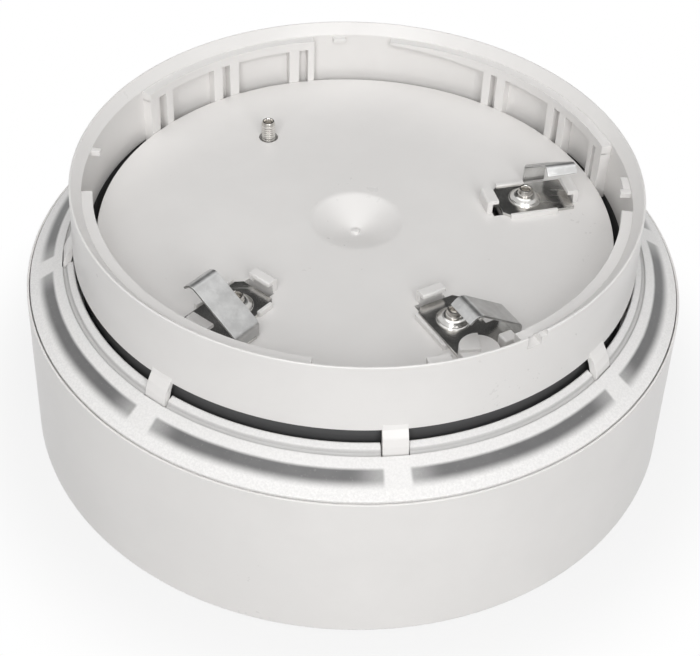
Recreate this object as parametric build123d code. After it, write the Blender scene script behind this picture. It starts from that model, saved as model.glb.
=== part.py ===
"""Detector base with sounder and beacon: a ceiling-mounted drum that a smoke detector twists into.

Millimetres. The ceiling side lies on z = 0 and the detector side faces +Z.
The drum's axis is the Z axis. Angles are in degrees, counter-clockwise from +X.
"""
from build123d import *
import math
import os

# ---- drum body ----
BODY_FOOT_R = 60.5
BODY_TOP_R = 59.55
BODY_HEIGHT = 31.0
BODY_WALL = 2.4
RIM_SEAT_DEPTH = 2.0
DECK_TOP = 28.5
DECK_THICKNESS = 2.0
SEAM_GAP = 0.2
RIM_LIP = 0.4

# ---- beacon lens ----
LENS_RISE = 5.3
LENS_INNER_R = 50.69
LENS_THICKNESS = 2.0
LENS_SKIRT = 1.8
GROOVE_R = 52.1
GROOVE_WIDTH = 0.7
GROOVE_DEPTH = 0.35
ARC_COUNT = 8
ARC_BREAK_ANGLE = -81.5
ARC_BREAK_SPAN = 5.4
ARC_INNER_R = 53.5
ARC_OUTER_R = 56.4
REFLECTOR_GAP = 0.3
LED_BOARD_THICKNESS = 1.0
LED_BOARD_INNER_R = 52.9
LED_BOARD_CLEARANCE = 0.34
LED_SIZE = (1.6, 2.0, 0.7)
LEDS_PER_ARC = 3

# ---- detector socket ----
SOCKET_TOP = 51.6
SOCKET_TOP_R = 50.2
SOCKET_FOOT_R = 50.69
SOUND_GAP = 2.2
BAFFLE_SLOTS = 32
BAFFLE_SLOT_SPAN = 7.5
BAFFLE_BAND = 3.0
BAFFLE_SLOT_DROP = 0.3
SOCKET_BORE_R = 48.2
FUNNEL_DEPTH = 1.9
RIM_ROUND = 0.35
LEDGE_REACH = 1.9
LEDGE_DROP = 2.1
LEDGE_THICKNESS = 1.9
RIB_BITE = 0.2
FLOOR_GAP = 1.95
FLOOR_DEPTH = 11.08
FLOOR_THICKNESS = 2.8
DIMPLE_R = 7.9
DIMPLE_DEPTH = 2.8
DIMPLE_WALL = 1.4
TAB_WIDTH = 4.2
TAB_CLEARANCE = 0.2
TAB_REACH = 1.96
TAB_THICKNESS = 1.35
TAB_ROOT_DEPTH = 0.8
SOCKET_POST_INSET = 7.2
SOCKET_POST_START = 22.5

# Ledges that a detector's lugs run under, and the pairs of ribs that carry them.
LEDGES = [(16.5, 83.5), (102.2, 149.0), (188.0, 262.8), (284.6, 353.1)]
RAIL_LEAD_IN = 22.0
RIB_PAIRS = [
    (102.2, 103.8, 106.0, 108.5),
    (121.8, 124.3, 126.3, 128.8),
    (141.5, 143.6, 146.2, 148.9),
    (16.5, 19.3, 20.7, 23.0),
    (33.0, 35.2, 37.2, 39.4),
    (52.9, 55.2, 56.9, 59.0),
    (206.0, 208.2, 210.2, 212.4),
    (254.0, 256.2, 258.2, 260.4),
    (286.0, 288.2, 290.2, 292.4),
    (325.0, 327.2, 329.2, 331.4),
]

# Small stops on the wall: reach, drop below the ledges' top, height, start, end.
WALL_STOPS = [
    (1.1, 0.2, 0.9, 94.3, 97.4),
    (0.9, 0.2, 0.9, 266.6, 268.6),
    (0.9, 0.2, 0.9, 275.4, 277.6),
    (1.6, 0.0, 1.0, 172.4, 174.0),
    (1.9, 0.0, 1.1, -0.8, 0.7),
    (1.3, 0.0, 1.9, 0.7, 5.0),
]
# The stepped notch in the rim, as depth, start and end of each step.
RIM_NOTCH = [(3.5, -57.0, -53.8), (2.1, -54.0, -52.6)]

# ---- spring contacts ----
CONTACT_INSET = 16.4
CONTACT_ANGLES = {"a": -128.2, "b": -58.0, "c": 15.7}
PLATE_INNER = -5.6
PLATE_OUTER = 8.6
PLATE_HALF_WIDTH = 4.3
PLATE_THICKNESS = 0.6
PLATE_SUNK = 0.8
PLATE_CLEARANCE = 0.4
COLLAR_R = 3.05
COLLAR_HEIGHT = 1.4
STUB_HEIGHT = 2.3
PLUG_AT = (10.1, -1.8)
PLUG_R = 3.4
PLUG_HEIGHT = 4.0
PLUG_SHANK_R = 1.1
BLADE_THICKNESS = 0.45
BEAD_R = 0.5
BEAD_CLEARANCE = 0.12
LIP_FORWARD = 0.75
LIP_DROP = 1.55
# Blade places from the floor's face: (inner, outer) radially, then (across, up) for bend and tip.
BLADES = {
    "a": {"bend": (3.3, 8.3), "tip": (3.05, 8.7), "bend_at": (6.5, 4.3), "tip_at": (-1.64, 9.2)},
    "b": {"bend": (3.3, 8.3), "tip": (3.05, 8.7), "bend_at": (6.5, 4.3), "tip_at": (-1.64, 9.2)},
    "c": {"bend": (1.5, 6.6), "tip": (3.05, 8.7), "bend_at": (4.9, 3.8), "tip_at": (-1.64, 7.7)},
}

# ---- terminal screws ----
M3_R = 1.5
THREAD_PITCH = 0.5
THREAD_DEPTH = 0.14
SCREW_CLEARANCE = 0.2
CUP_R = 0.95
CUP_DEPTH = 1.2
HEAD_R = 2.75
HEAD_HEIGHT = 2.0
CLAMP_SIDE = 7.0
CLAMP_THICKNESS = 1.0
SPARE_AT = (30.24, 125.5)
SPARE_HEIGHT = 3.7
SPARE_HOLE_R = 1.85

# ---- sounder ----
CUP_OUTER_R = 23.0
CUP_WALL = 2.0
CUP_FLOOR = 18.0
CUP_FLOOR_THICKNESS = 1.5
FLANGE_R = 28.0
FLANGE_THICKNESS = 1.5
PIEZO_Z = 25.0
PIEZO_R = 20.5
PIEZO_THICKNESS = 0.3
CERAMIC_R = 12.5
CERAMIC_THICKNESS = 0.25
CLAMP_RING_HEIGHT = 2.0
CAP_THICKNESS = 1.2
SOUND_HOLE_R = 1.6

# ---- board and what is on it ----
BOARD_R = 43.5
BOARD_Z = 13.0
BOARD_THICKNESS = 1.6
BOARD_POST_R = 39.0
SMALL_SCREW_R = 0.95
SMALL_HEAD_R = 2.0
SMALL_HEAD_HEIGHT = 1.5
DIP_AT = (0.0, -25.0)
DIP_SIZE = (14.0, 6.4, 3.0)
DIP_COUNT = 5
DIP_PITCH = 2.54
SLIDER_SIZE = (1.1, 1.5, 1.4)
SLIDER_TRAVEL = 1.5
SLIDER_CLEARANCE = 0.1
SLIDER_PROUD = 0.5
TRIMMER_AT = (18.0, -22.0)
TRIMMER_SIZE = (7.0, 7.0, 3.4)
ROTOR_R = 2.2
ROTOR_CLEARANCE = 0.08
BLOCK_SIZE = (22.0, 9.0, 9.0)
BLOCK_POLES = 4

# ---- mounting plate ----
MOUNT_PLATE_R = 57.8
MOUNT_PLATE_THICKNESS = 3.0
CABLE_OPENING_R = 18.0
SLOT_HALF_WIDTH = 2.25
SLOT_LENGTH = 9.0
SLOT_SPACING_X = 60.0
SLOT_SPACING_Y = 84.0
SNAP_ARM_R = 54.0
SNAP_LUG_Z = 8.0

# ---- heights and radii that follow ----
SEAM_Z = BODY_HEIGHT + 0.3
LENS_TOP = SEAM_Z + LENS_RISE - 0.3
LENS_OUTER_R = BODY_TOP_R - RIM_LIP - SEAM_GAP
LEDGE_BORE_R = SOCKET_BORE_R - LEDGE_REACH
FLOOR_R = SOCKET_BORE_R - FLOOR_GAP
SOCKET_POST_R = SOCKET_BORE_R - SOCKET_POST_INSET
CONTACT_R = SOCKET_BORE_R - CONTACT_INSET
LENS_SLOPE = (LENS_TOP - SEAM_Z) / (LENS_OUTER_R - LENS_INNER_R)
RIM_SEAT_Z = BODY_HEIGHT - RIM_SEAT_DEPTH
SOCKET_FOOT = LENS_TOP + SOUND_GAP
FLOOR_TOP = SOCKET_TOP - FLOOR_DEPTH
FLOOR_UNDER = FLOOR_TOP - FLOOR_THICKNESS
LEDGE_TOP = SOCKET_TOP - LEDGE_DROP
LEDGE_UNDER = LEDGE_TOP - LEDGE_THICKNESS
DECK_UNDER = DECK_TOP - DECK_THICKNESS
BOARD_TOP = BOARD_Z + BOARD_THICKNESS
ARC_PITCH = 360.0 / ARC_COUNT
BAFFLE_OUTER_R = SOCKET_FOOT_R - TAB_ROOT_DEPTH - 0.2
BAFFLE_INNER_R = SOCKET_BORE_R + RIB_BITE + 0.1
MOUNT_ARM_ANGLES = (45.0, 135.0, 225.0, 315.0)
BOARD_POST_ANGLES = (0.0, 90.0, 180.0, 270.0)
SOCKET_POST_ANGLES = tuple(SOCKET_POST_START + 90.0 * quarter for quarter in range(4))
LEAD_AT = (2.6, -2.6)
LEAD_R = 0.5
PIEZO_LEADS_AT = (8.0, 15.5)
PIEZO_LEAD_R = 0.4
LED_LEAD_ANGLE = 200.0
LED_LEAD_R = 0.6
LED_LEAD_BOARD_R = 41.0
LED_LEAD_RING_R = 54.8

FLANGE_SCREW_PLACES = [
    ((FLANGE_R - 2.4) * math.cos(turn), (FLANGE_R - 2.4) * math.sin(turn))
    for turn in (math.pi / 3, math.pi, math.pi * 5 / 3)
]

UP = (Align.CENTER, Align.CENTER, Align.MIN)


# ---- shapes used throughout ----
def turned(points):
    """A solid turned about Z from (radius, height) points."""
    outline = Polyline(*[(radius, 0, height) for radius, height in points], close=True)
    return revolve(make_face(outline), Axis.Z)


def ring(inner, outer, low, high):
    """A plain ring."""
    return turned([(inner, low), (outer, low), (outer, high), (inner, high)])


def arc_block(inner, outer, low, high, start, end):
    """Part of a ring, from one angle to another."""
    outline = Polyline((inner, 0, low), (outer, 0, low), (outer, 0, high), (inner, 0, high), close=True)
    return Rot(0, 0, start) * revolve(make_face(outline), Axis.Z, end - start)


def post(radius, low, high, at=(0, 0)):
    """A round post or hole between two heights."""
    return Pos(at[0], at[1], low) * Cylinder(radius, high - low, align=UP)


def block(x_low, x_high, y_low, y_high, z_low, z_high):
    """A box given by its faces."""
    centre = ((x_low + x_high) / 2, (y_low + y_high) / 2, (z_low + z_high) / 2)
    return Pos(*centre) * Box(x_high - x_low, y_high - y_low, z_high - z_low)


def polar(radius, angle):
    """The x and y of a place at a radius and an angle."""
    turn = math.radians(angle)
    return (radius * math.cos(turn), radius * math.sin(turn))


def at_contact(angle):
    """The frame of a contact: x runs outwards, y across, and z = 0 is the floor's face."""
    return Rot(0, 0, angle) * Pos(CONTACT_R, 0, FLOOR_TOP)


def thread(radius, low, high):
    """A threaded shank, its thread drawn as plain ridges."""
    turns = int((high - low) / THREAD_PITCH)
    step = (high - low) / turns
    points = [(0, low), (radius, low)]
    for turn in range(turns):
        points.append((radius - THREAD_DEPTH, low + (turn + 0.5) * step))
        points.append((radius, low + (turn + 1) * step))
    points.append((0, high))
    return turned(points)


def cross_screw(radius, head_radius, head_height, length):
    """A pan-head screw with a cross recess, head down, its head's seat at z = 0."""
    head = Pos(0, 0, -head_height) * Cylinder(head_radius, head_height, align=UP)
    head = fillet(head.edges().group_by(Axis.Z)[0], head_height * 0.45)
    recess_depth = head_height * 0.55
    for turn in (0, 90):
        arm = Box(head_radius * 1.1, head_radius * 0.28, 2 * recess_depth)
        head -= Pos(0, 0, -head_height) * Rot(0, 0, turn) * arm
    return head + Cylinder(radius, length, align=UP)


# ---- drum body ----
def body_radius(height):
    """The outside radius of the drum at a height: it has a slight draft."""
    return BODY_FOOT_R + (BODY_TOP_R - BODY_FOOT_R) * height / BODY_HEIGHT


def body_shell():
    """Drum wall, the deck across it, the posts under the deck and the snap lugs at its foot."""
    seat_r = body_radius(RIM_SEAT_Z) - BODY_WALL
    shell = turned([
        (BODY_FOOT_R - BODY_WALL, 0),
        (BODY_FOOT_R - 0.4, 0),
        (BODY_FOOT_R, 0.4),
        (BODY_TOP_R, BODY_HEIGHT - 0.15),
        (BODY_TOP_R - 0.15, BODY_HEIGHT),
        (BODY_TOP_R - RIM_LIP, BODY_HEIGHT),
        (BODY_TOP_R - RIM_LIP, RIM_SEAT_Z),
        (seat_r, RIM_SEAT_Z),
        (seat_r, DECK_TOP),
        (CUP_OUTER_R + 0.1, DECK_TOP),
        (CUP_OUTER_R + 0.1, DECK_UNDER),
        (body_radius(DECK_UNDER) - BODY_WALL, DECK_UNDER),
    ])
    for angle in BOARD_POST_ANGLES:
        place = polar(BOARD_POST_R, angle)
        shell += post(2.8, BOARD_TOP, DECK_UNDER, place)
        shell -= post(SMALL_SCREW_R + 0.05, BOARD_TOP, BOARD_TOP + 8, place)
    for angle in MOUNT_ARM_ANGLES:
        lug = arc_block(SNAP_ARM_R + 2.0, BODY_FOOT_R - 1.0, SNAP_LUG_Z, SNAP_LUG_Z + 2, angle - 4, angle + 4)
        shell += lug
    for angle in SOCKET_POST_ANGLES:
        shell -= post(SMALL_SCREW_R + 0.15, DECK_UNDER, DECK_TOP, polar(SOCKET_POST_R, angle))
    for angle in CONTACT_ANGLES.values():
        shell -= Rot(0, 0, angle) * post(1.2, DECK_UNDER, DECK_TOP, (CONTACT_R + LEAD_AT[0], LEAD_AT[1]))
    for place in FLANGE_SCREW_PLACES:
        shell -= post(SMALL_SCREW_R + 0.05, DECK_UNDER, DECK_TOP, place)
    shell -= post(LED_LEAD_R + 0.6, DECK_UNDER, DECK_TOP, polar(LED_LEAD_RING_R, LED_LEAD_ANGLE))
    return shell


# ---- beacon ----
def lens_top_at(radius):
    """Height of the lens's outer face at a radius."""
    return LENS_TOP - LENS_SLOPE * (radius - LENS_INNER_R)


def lens_ring():
    """Sloping translucent ring with a skirt, a fine groove and a notch for each retaining tab."""
    skirt_inner = LENS_OUTER_R - LENS_SKIRT
    groove_end = GROOVE_R + GROOVE_WIDTH
    lens = turned([
        (LENS_INNER_R, LENS_TOP),
        (GROOVE_R, lens_top_at(GROOVE_R)),
        (GROOVE_R, lens_top_at(GROOVE_R) - GROOVE_DEPTH),
        (groove_end, lens_top_at(groove_end) - GROOVE_DEPTH),
        (groove_end, lens_top_at(groove_end)),
        (LENS_OUTER_R, SEAM_Z),
        (LENS_OUTER_R, RIM_SEAT_Z),
        (skirt_inner, RIM_SEAT_Z),
        (skirt_inner, lens_top_at(skirt_inner) - LENS_THICKNESS),
        (LENS_INNER_R, LENS_TOP - LENS_THICKNESS),
    ])
    half = TAB_WIDTH / 2 + TAB_CLEARANCE
    for index in range(ARC_COUNT):
        notch = block(LENS_INNER_R - 2, tab_outer_r() + TAB_CLEARANCE, -half, half, RIM_SEAT_Z, LENS_TOP + 1)
        lens -= Rot(0, 0, ARC_BREAK_ANGLE + ARC_PITCH * index) * notch
    return lens


def led_board():
    """Dark ring board under the lens."""
    outer = LENS_OUTER_R - LENS_SKIRT - LED_BOARD_CLEARANCE
    return ring(LED_BOARD_INNER_R, outer, DECK_TOP, DECK_TOP + LED_BOARD_THICKNESS)


def reflector_ring():
    """White ring that follows the lens's underside, with a long window over each row of lamps."""
    low = DECK_TOP + LED_BOARD_THICKNESS
    outer = LENS_OUTER_R - LENS_SKIRT - 0.2
    inner = LED_BOARD_INNER_R + 0.2
    drop = LENS_THICKNESS + REFLECTOR_GAP
    body = turned([
        (inner, low),
        (outer, low),
        (outer, lens_top_at(outer) - drop),
        (inner, lens_top_at(inner) - drop),
    ])
    for index in range(ARC_COUNT):
        start = ARC_BREAK_ANGLE + ARC_PITCH * index + ARC_BREAK_SPAN / 2
        end = start + ARC_PITCH - ARC_BREAK_SPAN
        body -= arc_block(ARC_INNER_R, ARC_OUTER_R, low, LENS_TOP, start, end)
    return body


def leds():
    """Lamps on the ring board, spread along each window."""
    lamps = []
    middle = (ARC_INNER_R + ARC_OUTER_R) / 2
    low = DECK_TOP + LED_BOARD_THICKNESS
    for index in range(ARC_COUNT):
        for lamp in range(LEDS_PER_ARC):
            share = (lamp + 0.5) / LEDS_PER_ARC
            angle = ARC_BREAK_ANGLE + ARC_PITCH * (index + 0.12 + 0.76 * share)
            lamps.append(Rot(0, 0, angle) * Pos(middle, 0, low) * Box(*LED_SIZE, align=UP))
    return lamps


def baffle_ring():
    """Black slotted ring that the sound leaves through, between the deck and the socket."""
    baffle = ring(BAFFLE_INNER_R, BAFFLE_OUTER_R, DECK_TOP, SOCKET_FOOT)
    low = DECK_TOP + BAFFLE_BAND
    high = LENS_TOP - BAFFLE_SLOT_DROP
    for index in range(BAFFLE_SLOTS):
        start = 360 / BAFFLE_SLOTS * index
        end = start + BAFFLE_SLOT_SPAN
        baffle -= arc_block(BAFFLE_INNER_R - 1, BAFFLE_OUTER_R + 1, low, high, start, end)
    return baffle


# ---- detector socket ----
def tab_outer_r():
    """Radius that the foot of a retaining tab reaches over the lens."""
    return LENS_INNER_R + TAB_REACH


def retaining_tab():
    """One curved tab from the socket wall down into the lens's notch, at angle 0."""
    root = SOCKET_FOOT_R - TAB_ROOT_DEPTH
    outer = tab_outer_r()
    inner = outer - TAB_THICKNESS
    bend = LENS_TOP - 1.2
    foot = LENS_TOP - LENS_THICKNESS - 0.9
    outside = Spline((root + 0.35, 0, SOCKET_FOOT + 1.5), (outer - 1.2, 0, SOCKET_FOOT - 0.2),
                     (outer - 0.3, 0, SOCKET_FOOT - 2.0), (outer, 0, bend))
    inside = Spline((inner, 0, bend), (inner - 0.3, 0, SOCKET_FOOT - 1.6), (root, 0, SOCKET_FOOT))
    outline = outside + Line(outside @ 1, (outer, 0, foot))
    outline += Line((outer, 0, foot), (inner, 0, foot))
    outline += Line((inner, 0, foot), inside @ 0)
    outline += inside
    outline += Line(inside @ 1, outside @ 0)
    return extrude(make_face(outline), TAB_WIDTH / 2, both=True, dir=(0, 1, 0))


def socket_wall():
    """Outer wall with its funnel-shaped mouth."""
    return turned([
        (SOCKET_BORE_R, SOCKET_FOOT),
        (SOCKET_FOOT_R, SOCKET_FOOT),
        (SOCKET_TOP_R, SOCKET_TOP - 2 * RIM_ROUND),
        (SOCKET_TOP_R - RIM_ROUND / 2, SOCKET_TOP - RIM_ROUND / 2),
        (SOCKET_TOP_R - RIM_ROUND, SOCKET_TOP),
        (SOCKET_TOP_R - 2 * RIM_ROUND, SOCKET_TOP - RIM_ROUND / 2),
        (SOCKET_BORE_R, SOCKET_TOP - FUNNEL_DEPTH),
    ])


def rail_lead_in():
    """Wedge cut from under the start of the first ledge, so that a lug is drawn in."""
    middle = LEDGES[0][1] - RAIL_LEAD_IN / 2
    length = 2 * LEDGE_BORE_R * math.sin(math.radians(RAIL_LEAD_IN / 2))
    tilt = math.degrees(math.atan2(LEDGE_THICKNESS * 0.65, length))
    wedge = Box(8, length * 1.1, LEDGE_THICKNESS, align=(Align.CENTER, Align.CENTER, Align.MAX))
    place = Pos(LEDGE_BORE_R, 0, LEDGE_UNDER + LEDGE_THICKNESS * 0.33)
    return Rot(0, 0, middle) * place * Rot(tilt, 0, 0) * wedge


def ledge_parts():
    """Ledges under the mouth, the ribs that carry them, and the small stops beside them."""
    parts = []
    outer = SOCKET_BORE_R + RIB_BITE
    for start, end in LEDGES:
        parts.append(arc_block(LEDGE_BORE_R, outer, LEDGE_UNDER, LEDGE_TOP, start, end))
    parts[0] -= rail_lead_in()
    for first, second, third, fourth in RIB_PAIRS:
        parts.append(arc_block(FLOOR_R - RIB_BITE, outer, FLOOR_UNDER, LEDGE_UNDER, first, second))
        parts.append(arc_block(FLOOR_R - RIB_BITE, outer, FLOOR_UNDER, LEDGE_UNDER, third, fourth))
    for reach, drop, height, start, end in WALL_STOPS:
        top = LEDGE_TOP - drop
        parts.append(arc_block(SOCKET_BORE_R - reach, outer, top - height, top, start, end))
    return parts


def hook(inner, outer, wall, half_length):
    """A hook over the edge of a contact plate, its wall at one side and its lip over the other."""
    height = 2.6
    low = min(inner, outer)
    high = max(inner, outer)
    lip = block(low, high, -half_length, half_length, height - 0.9, height)
    wall_low = high - wall if outer > inner else low
    upright = block(wall_low, wall_low + wall, -half_length, half_length, 0, height)
    crown = upright + lip
    edge = crown.edges().filter_by(Axis.Y).sort_by(lambda e: e.center().Z + abs(e.center().X))[-1]
    return fillet(edge, 0.6)


def contact_seat(name):
    """Hooks and strips that hold a contact plate; contact b has a post and plug at its outer end."""
    strip_height = 1.0
    side = PLATE_HALF_WIDTH + PLATE_CLEARANCE
    parts = hook(-5.4, -8.0, 1.1, 2.3)
    parts += block(-4.2, 4.8, -side - 0.9, -side, 0, strip_height)
    if name == "c":
        parts += block(-4.2, 1.3, side, side + 0.9, 0, strip_height)
    else:
        parts += block(-4.9, -0.8, side, side + 0.9, 0, strip_height)
    if name == "b":
        parts += block(6.2, 7.3, -8.5, -side - 0.1, 0, strip_height)
        cube = Pos(9.8, 3.5, 0) * Rot(0, 0, 40) * Box(2.2, 2.0, 4.0, align=UP)
        top = cube.edges().group_by(Axis.Z)[-1]
        parts += chamfer(top, 0.25)
    else:
        parts += hook(7.5, 9.9, 1.0, 2.3)
    return parts


def contact_recess(name):
    """Sunk bed of a contact plate, with the hole for its screw."""
    gap = PLATE_CLEARANCE
    depth = PLATE_SUNK + PLATE_THICKNESS
    side = PLATE_HALF_WIDTH + gap
    bed = block(PLATE_INNER - gap, PLATE_OUTER + 0.3, -side, side, -depth, 1)
    bend = BLADES[name]["bend"]
    across = BLADES[name]["bend_at"][0]
    if across > PLATE_HALF_WIDTH:
        bed += block(bend[0] - gap, bend[1] + 0.3, 0, across + BEAD_R + gap, -depth, 1)
    bed += post(M3_R + SCREW_CLEARANCE, -FLOOR_THICKNESS - 1, 0)
    return bed


def socket_base():
    """Wall, floor and everything moulded on them, with the eight tabs that hold the lens."""
    base = socket_wall() + post(FLOOR_R, FLOOR_UNDER, FLOOR_TOP)
    for part in ledge_parts():
        base += part
    for index in range(ARC_COUNT):
        base += Rot(0, 0, ARC_BREAK_ANGLE + ARC_PITCH * index) * retaining_tab()
    for angle in SOCKET_POST_ANGLES:
        place = polar(SOCKET_POST_R, angle)
        base += post(3.0, DECK_TOP, FLOOR_UNDER + 0.5, place)
        base -= post(SMALL_SCREW_R + 0.05, DECK_TOP, FLOOR_UNDER, place)
    skin = DIMPLE_WALL
    base += turned([
        (0, FLOOR_TOP - DIMPLE_DEPTH - skin),
        (2.4, FLOOR_TOP - DIMPLE_DEPTH - skin),
        (DIMPLE_R, FLOOR_UNDER + 0.4),
        (0, FLOOR_UNDER + 0.4),
    ])
    base -= turned([
        (0, FLOOR_TOP - DIMPLE_DEPTH),
        (1.0, FLOOR_TOP - DIMPLE_DEPTH),
        (3.2, FLOOR_TOP - DIMPLE_DEPTH * 0.72),
        (DIMPLE_R - 1.2, FLOOR_TOP - DIMPLE_DEPTH * 0.12),
        (DIMPLE_R, FLOOR_TOP),
        (0, FLOOR_TOP),
    ])
    base += post(0.7, FLOOR_TOP - DIMPLE_DEPTH - 0.2, FLOOR_TOP - DIMPLE_DEPTH + 0.45)
    for name, angle in CONTACT_ANGLES.items():
        base -= at_contact(angle) * contact_recess(name)
        base += at_contact(angle) * contact_seat(name)
    base -= at_contact(CONTACT_ANGLES["b"]) * post(PLUG_SHANK_R, -FLOOR_THICKNESS - 1, 1, PLUG_AT)
    base -= post(SPARE_HOLE_R, FLOOR_UNDER - 1, FLOOR_TOP + 1, polar(*SPARE_AT))
    for depth, start, end in RIM_NOTCH:
        low = SOCKET_TOP - depth
        base -= arc_block(SOCKET_BORE_R - 3, SOCKET_FOOT_R + 1, low, SOCKET_TOP + 1, start, end)
    return base


def lock_plug():
    """Round plug pressed into the floor, its flat head stepped down in one quarter."""
    head = post(PLUG_R, 0, PLUG_HEIGHT)
    head = fillet(head.edges().group_by(Axis.Z)[-1], 0.25)
    head -= block(-PLUG_R - 1, -0.6, -PLUG_R - 1, 0.4, PLUG_HEIGHT - 0.6, PLUG_HEIGHT + 1)
    return head + post(PLUG_SHANK_R, -FLOOR_THICKNESS + 0.4, 0)


# ---- spring contacts ----
def contact_plate(name):
    """Sunk plate with its rolled end, screw hole and the short wall that the blade springs from."""
    low = -PLATE_SUNK - PLATE_THICKNESS
    plate = block(PLATE_INNER, PLATE_OUTER, -PLATE_HALF_WIDTH, PLATE_HALF_WIDTH, low, -PLATE_SUNK)
    corners = plate.edges().filter_by(Axis.Z)
    plate = chamfer(corners, 0.9)
    roll_x = PLATE_OUTER - 1.4 if name == "c" else PLATE_INNER + 1.2
    roll = Pos(roll_x, 0, low + 0.3) * Rot(90, 0, 0) * Cylinder(0.95, 2 * PLATE_HALF_WIDTH - 2.4)
    plate += roll & block(-10, 12, -6, 6, low, 1)
    bend = BLADES[name]["bend"]
    across, up = BLADES[name]["bend_at"]
    if across > PLATE_HALF_WIDTH:
        plate += block(bend[0], bend[1], PLATE_HALF_WIDTH - 1, across + BEAD_R, low, -PLATE_SUNK)
    wall = block(bend[0], bend[1], across + BEAD_R - PLATE_THICKNESS, across + BEAD_R, low, up)
    clear = BEAD_R + BEAD_CLEARANCE
    wall -= Pos((bend[0] + bend[1]) / 2, across, up) * Rot(0, 90, 0) * Cylinder(clear, bend[1] - bend[0] + 2)
    plate += wall
    plate -= post(M3_R + SCREW_CLEARANCE, low - 1, 1)
    return plate


def blade_slope(name):
    """Length of a blade from bend to tip, and the angle it rises at."""
    across, up = BLADES[name]["bend_at"]
    tip_across, tip_up = BLADES[name]["tip_at"]
    run = across - tip_across
    rise = tip_up - up
    return math.hypot(run, rise), math.degrees(math.atan2(rise, run))


def contact_blade(name):
    """Springy blade: a bead at its bend, a flat tapering leaf and a lip turned down at the tip."""
    length, angle = blade_slope(name)
    bend = BLADES[name]["bend"]
    tip = BLADES[name]["tip"]
    thick = BLADE_THICKNESS
    top = BEAD_R
    side = Polyline(
        (0, top),
        (length - 0.25, top),
        (length + 0.05, top - 0.2),
        (length + LIP_FORWARD, top - LIP_DROP),
        (length + LIP_FORWARD - 0.43, top - LIP_DROP - 0.13),
        (length - 0.42, top - thick),
        (0, top - thick),
        close=True,
    )
    leaf = extrude(Plane.YZ * make_face(side), 40, both=True)
    plan = Polyline(
        (bend[0], -1), (bend[1], -1), (tip[1], length - 0.5), (tip[1], length + 2),
        (tip[0], length + 2), (tip[0], length - 0.5), close=True,
    )
    leaf &= extrude(make_face(plan), 10, both=True)
    bead = Pos((bend[0] + bend[1]) / 2, 0, 0) * Rot(0, 90, 0) * Cylinder(BEAD_R, bend[1] - bend[0])
    across, up = BLADES[name]["bend_at"]
    turned_over = Pos(0, across, up) * Rot(-angle, 0, 0) * mirror(leaf + bead, about=Plane.XZ)
    return turned_over


def terminal_collar():
    """Domed threaded collar on the plate."""
    low = -PLATE_SUNK
    bore = M3_R + 0.06
    return turned([
        (bore, low),
        (COLLAR_R, low),
        (COLLAR_R - 0.15, low + COLLAR_HEIGHT * 0.25),
        (COLLAR_R - 0.45, low + COLLAR_HEIGHT * 0.6),
        (COLLAR_R - 0.95, low + COLLAR_HEIGHT * 0.92),
        (bore + 0.15, low + COLLAR_HEIGHT),
        (bore, low + COLLAR_HEIGHT - 0.15),
    ])


def terminal_screw(height):
    """Screw driven from the ceiling side; its cupped end stands above the floor by a height."""
    seat = -FLOOR_THICKNESS - CLAMP_THICKNESS
    body = Pos(0, 0, seat) * cross_screw(M3_R - THREAD_DEPTH, HEAD_R, HEAD_HEIGHT, 1)
    body += thread(M3_R, seat, height - 0.35)
    cone = height - 0.35
    body += turned([(0, cone), (M3_R - THREAD_DEPTH, cone), (M3_R - 0.4, height), (0, height)])
    return body - post(CUP_R, height - CUP_DEPTH, height + 1)


def wire_clamp():
    """Square clamp washer under the floor."""
    clamp = block(-CLAMP_SIDE / 2, CLAMP_SIDE / 2, -CLAMP_SIDE / 2, CLAMP_SIDE / 2,
                  -FLOOR_THICKNESS - CLAMP_THICKNESS, -FLOOR_THICKNESS)
    clamp = fillet(clamp.edges().filter_by(Axis.Z), 0.8)
    return clamp - post(M3_R + SCREW_CLEARANCE, -FLOOR_THICKNESS - 2, 0)


# ---- sounder ----
def sounder_cup():
    """Resonator cup through the deck, with a ledge for the disc and a flange on the deck."""
    inner = CUP_OUTER_R - CUP_WALL
    flange_top = DECK_TOP + FLANGE_THICKNESS
    cup = turned([
        (0, CUP_FLOOR),
        (CUP_OUTER_R, CUP_FLOOR),
        (CUP_OUTER_R, DECK_TOP),
        (FLANGE_R, DECK_TOP),
        (FLANGE_R, flange_top),
        (inner, flange_top),
        (inner, PIEZO_Z),
        (inner - 2, PIEZO_Z),
        (inner - 2, CUP_FLOOR + CUP_FLOOR_THICKNESS),
        (0, CUP_FLOOR + CUP_FLOOR_THICKNESS),
    ])
    for x in PIEZO_LEADS_AT:
        cup -= post(PIEZO_LEAD_R + 0.4, CUP_FLOOR - 1, CUP_FLOOR + 3, (x, 0))
    for place in FLANGE_SCREW_PLACES:
        cup -= post(SMALL_SCREW_R + 0.15, DECK_TOP - 1, flange_top + 1, place)
    return cup


def sounder_cap():
    """Cover of the resonator with a ring of sound holes."""
    low = DECK_TOP + FLANGE_THICKNESS
    cap = post(FLANGE_R - 4.6, low, low + CAP_THICKNESS)
    cap -= post(SOUND_HOLE_R * 1.5, low - 1, low + 5)
    for turn in range(8):
        cap -= post(SOUND_HOLE_R, low - 1, low + 5, polar(11, 45 * turn))
    return cap


def piezo_clamp():
    """Ring that holds the disc down on its ledge."""
    inner = CUP_OUTER_R - CUP_WALL
    low = PIEZO_Z + PIEZO_THICKNESS
    return ring(inner - 2, inner - 0.1, low, low + CLAMP_RING_HEIGHT)


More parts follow.
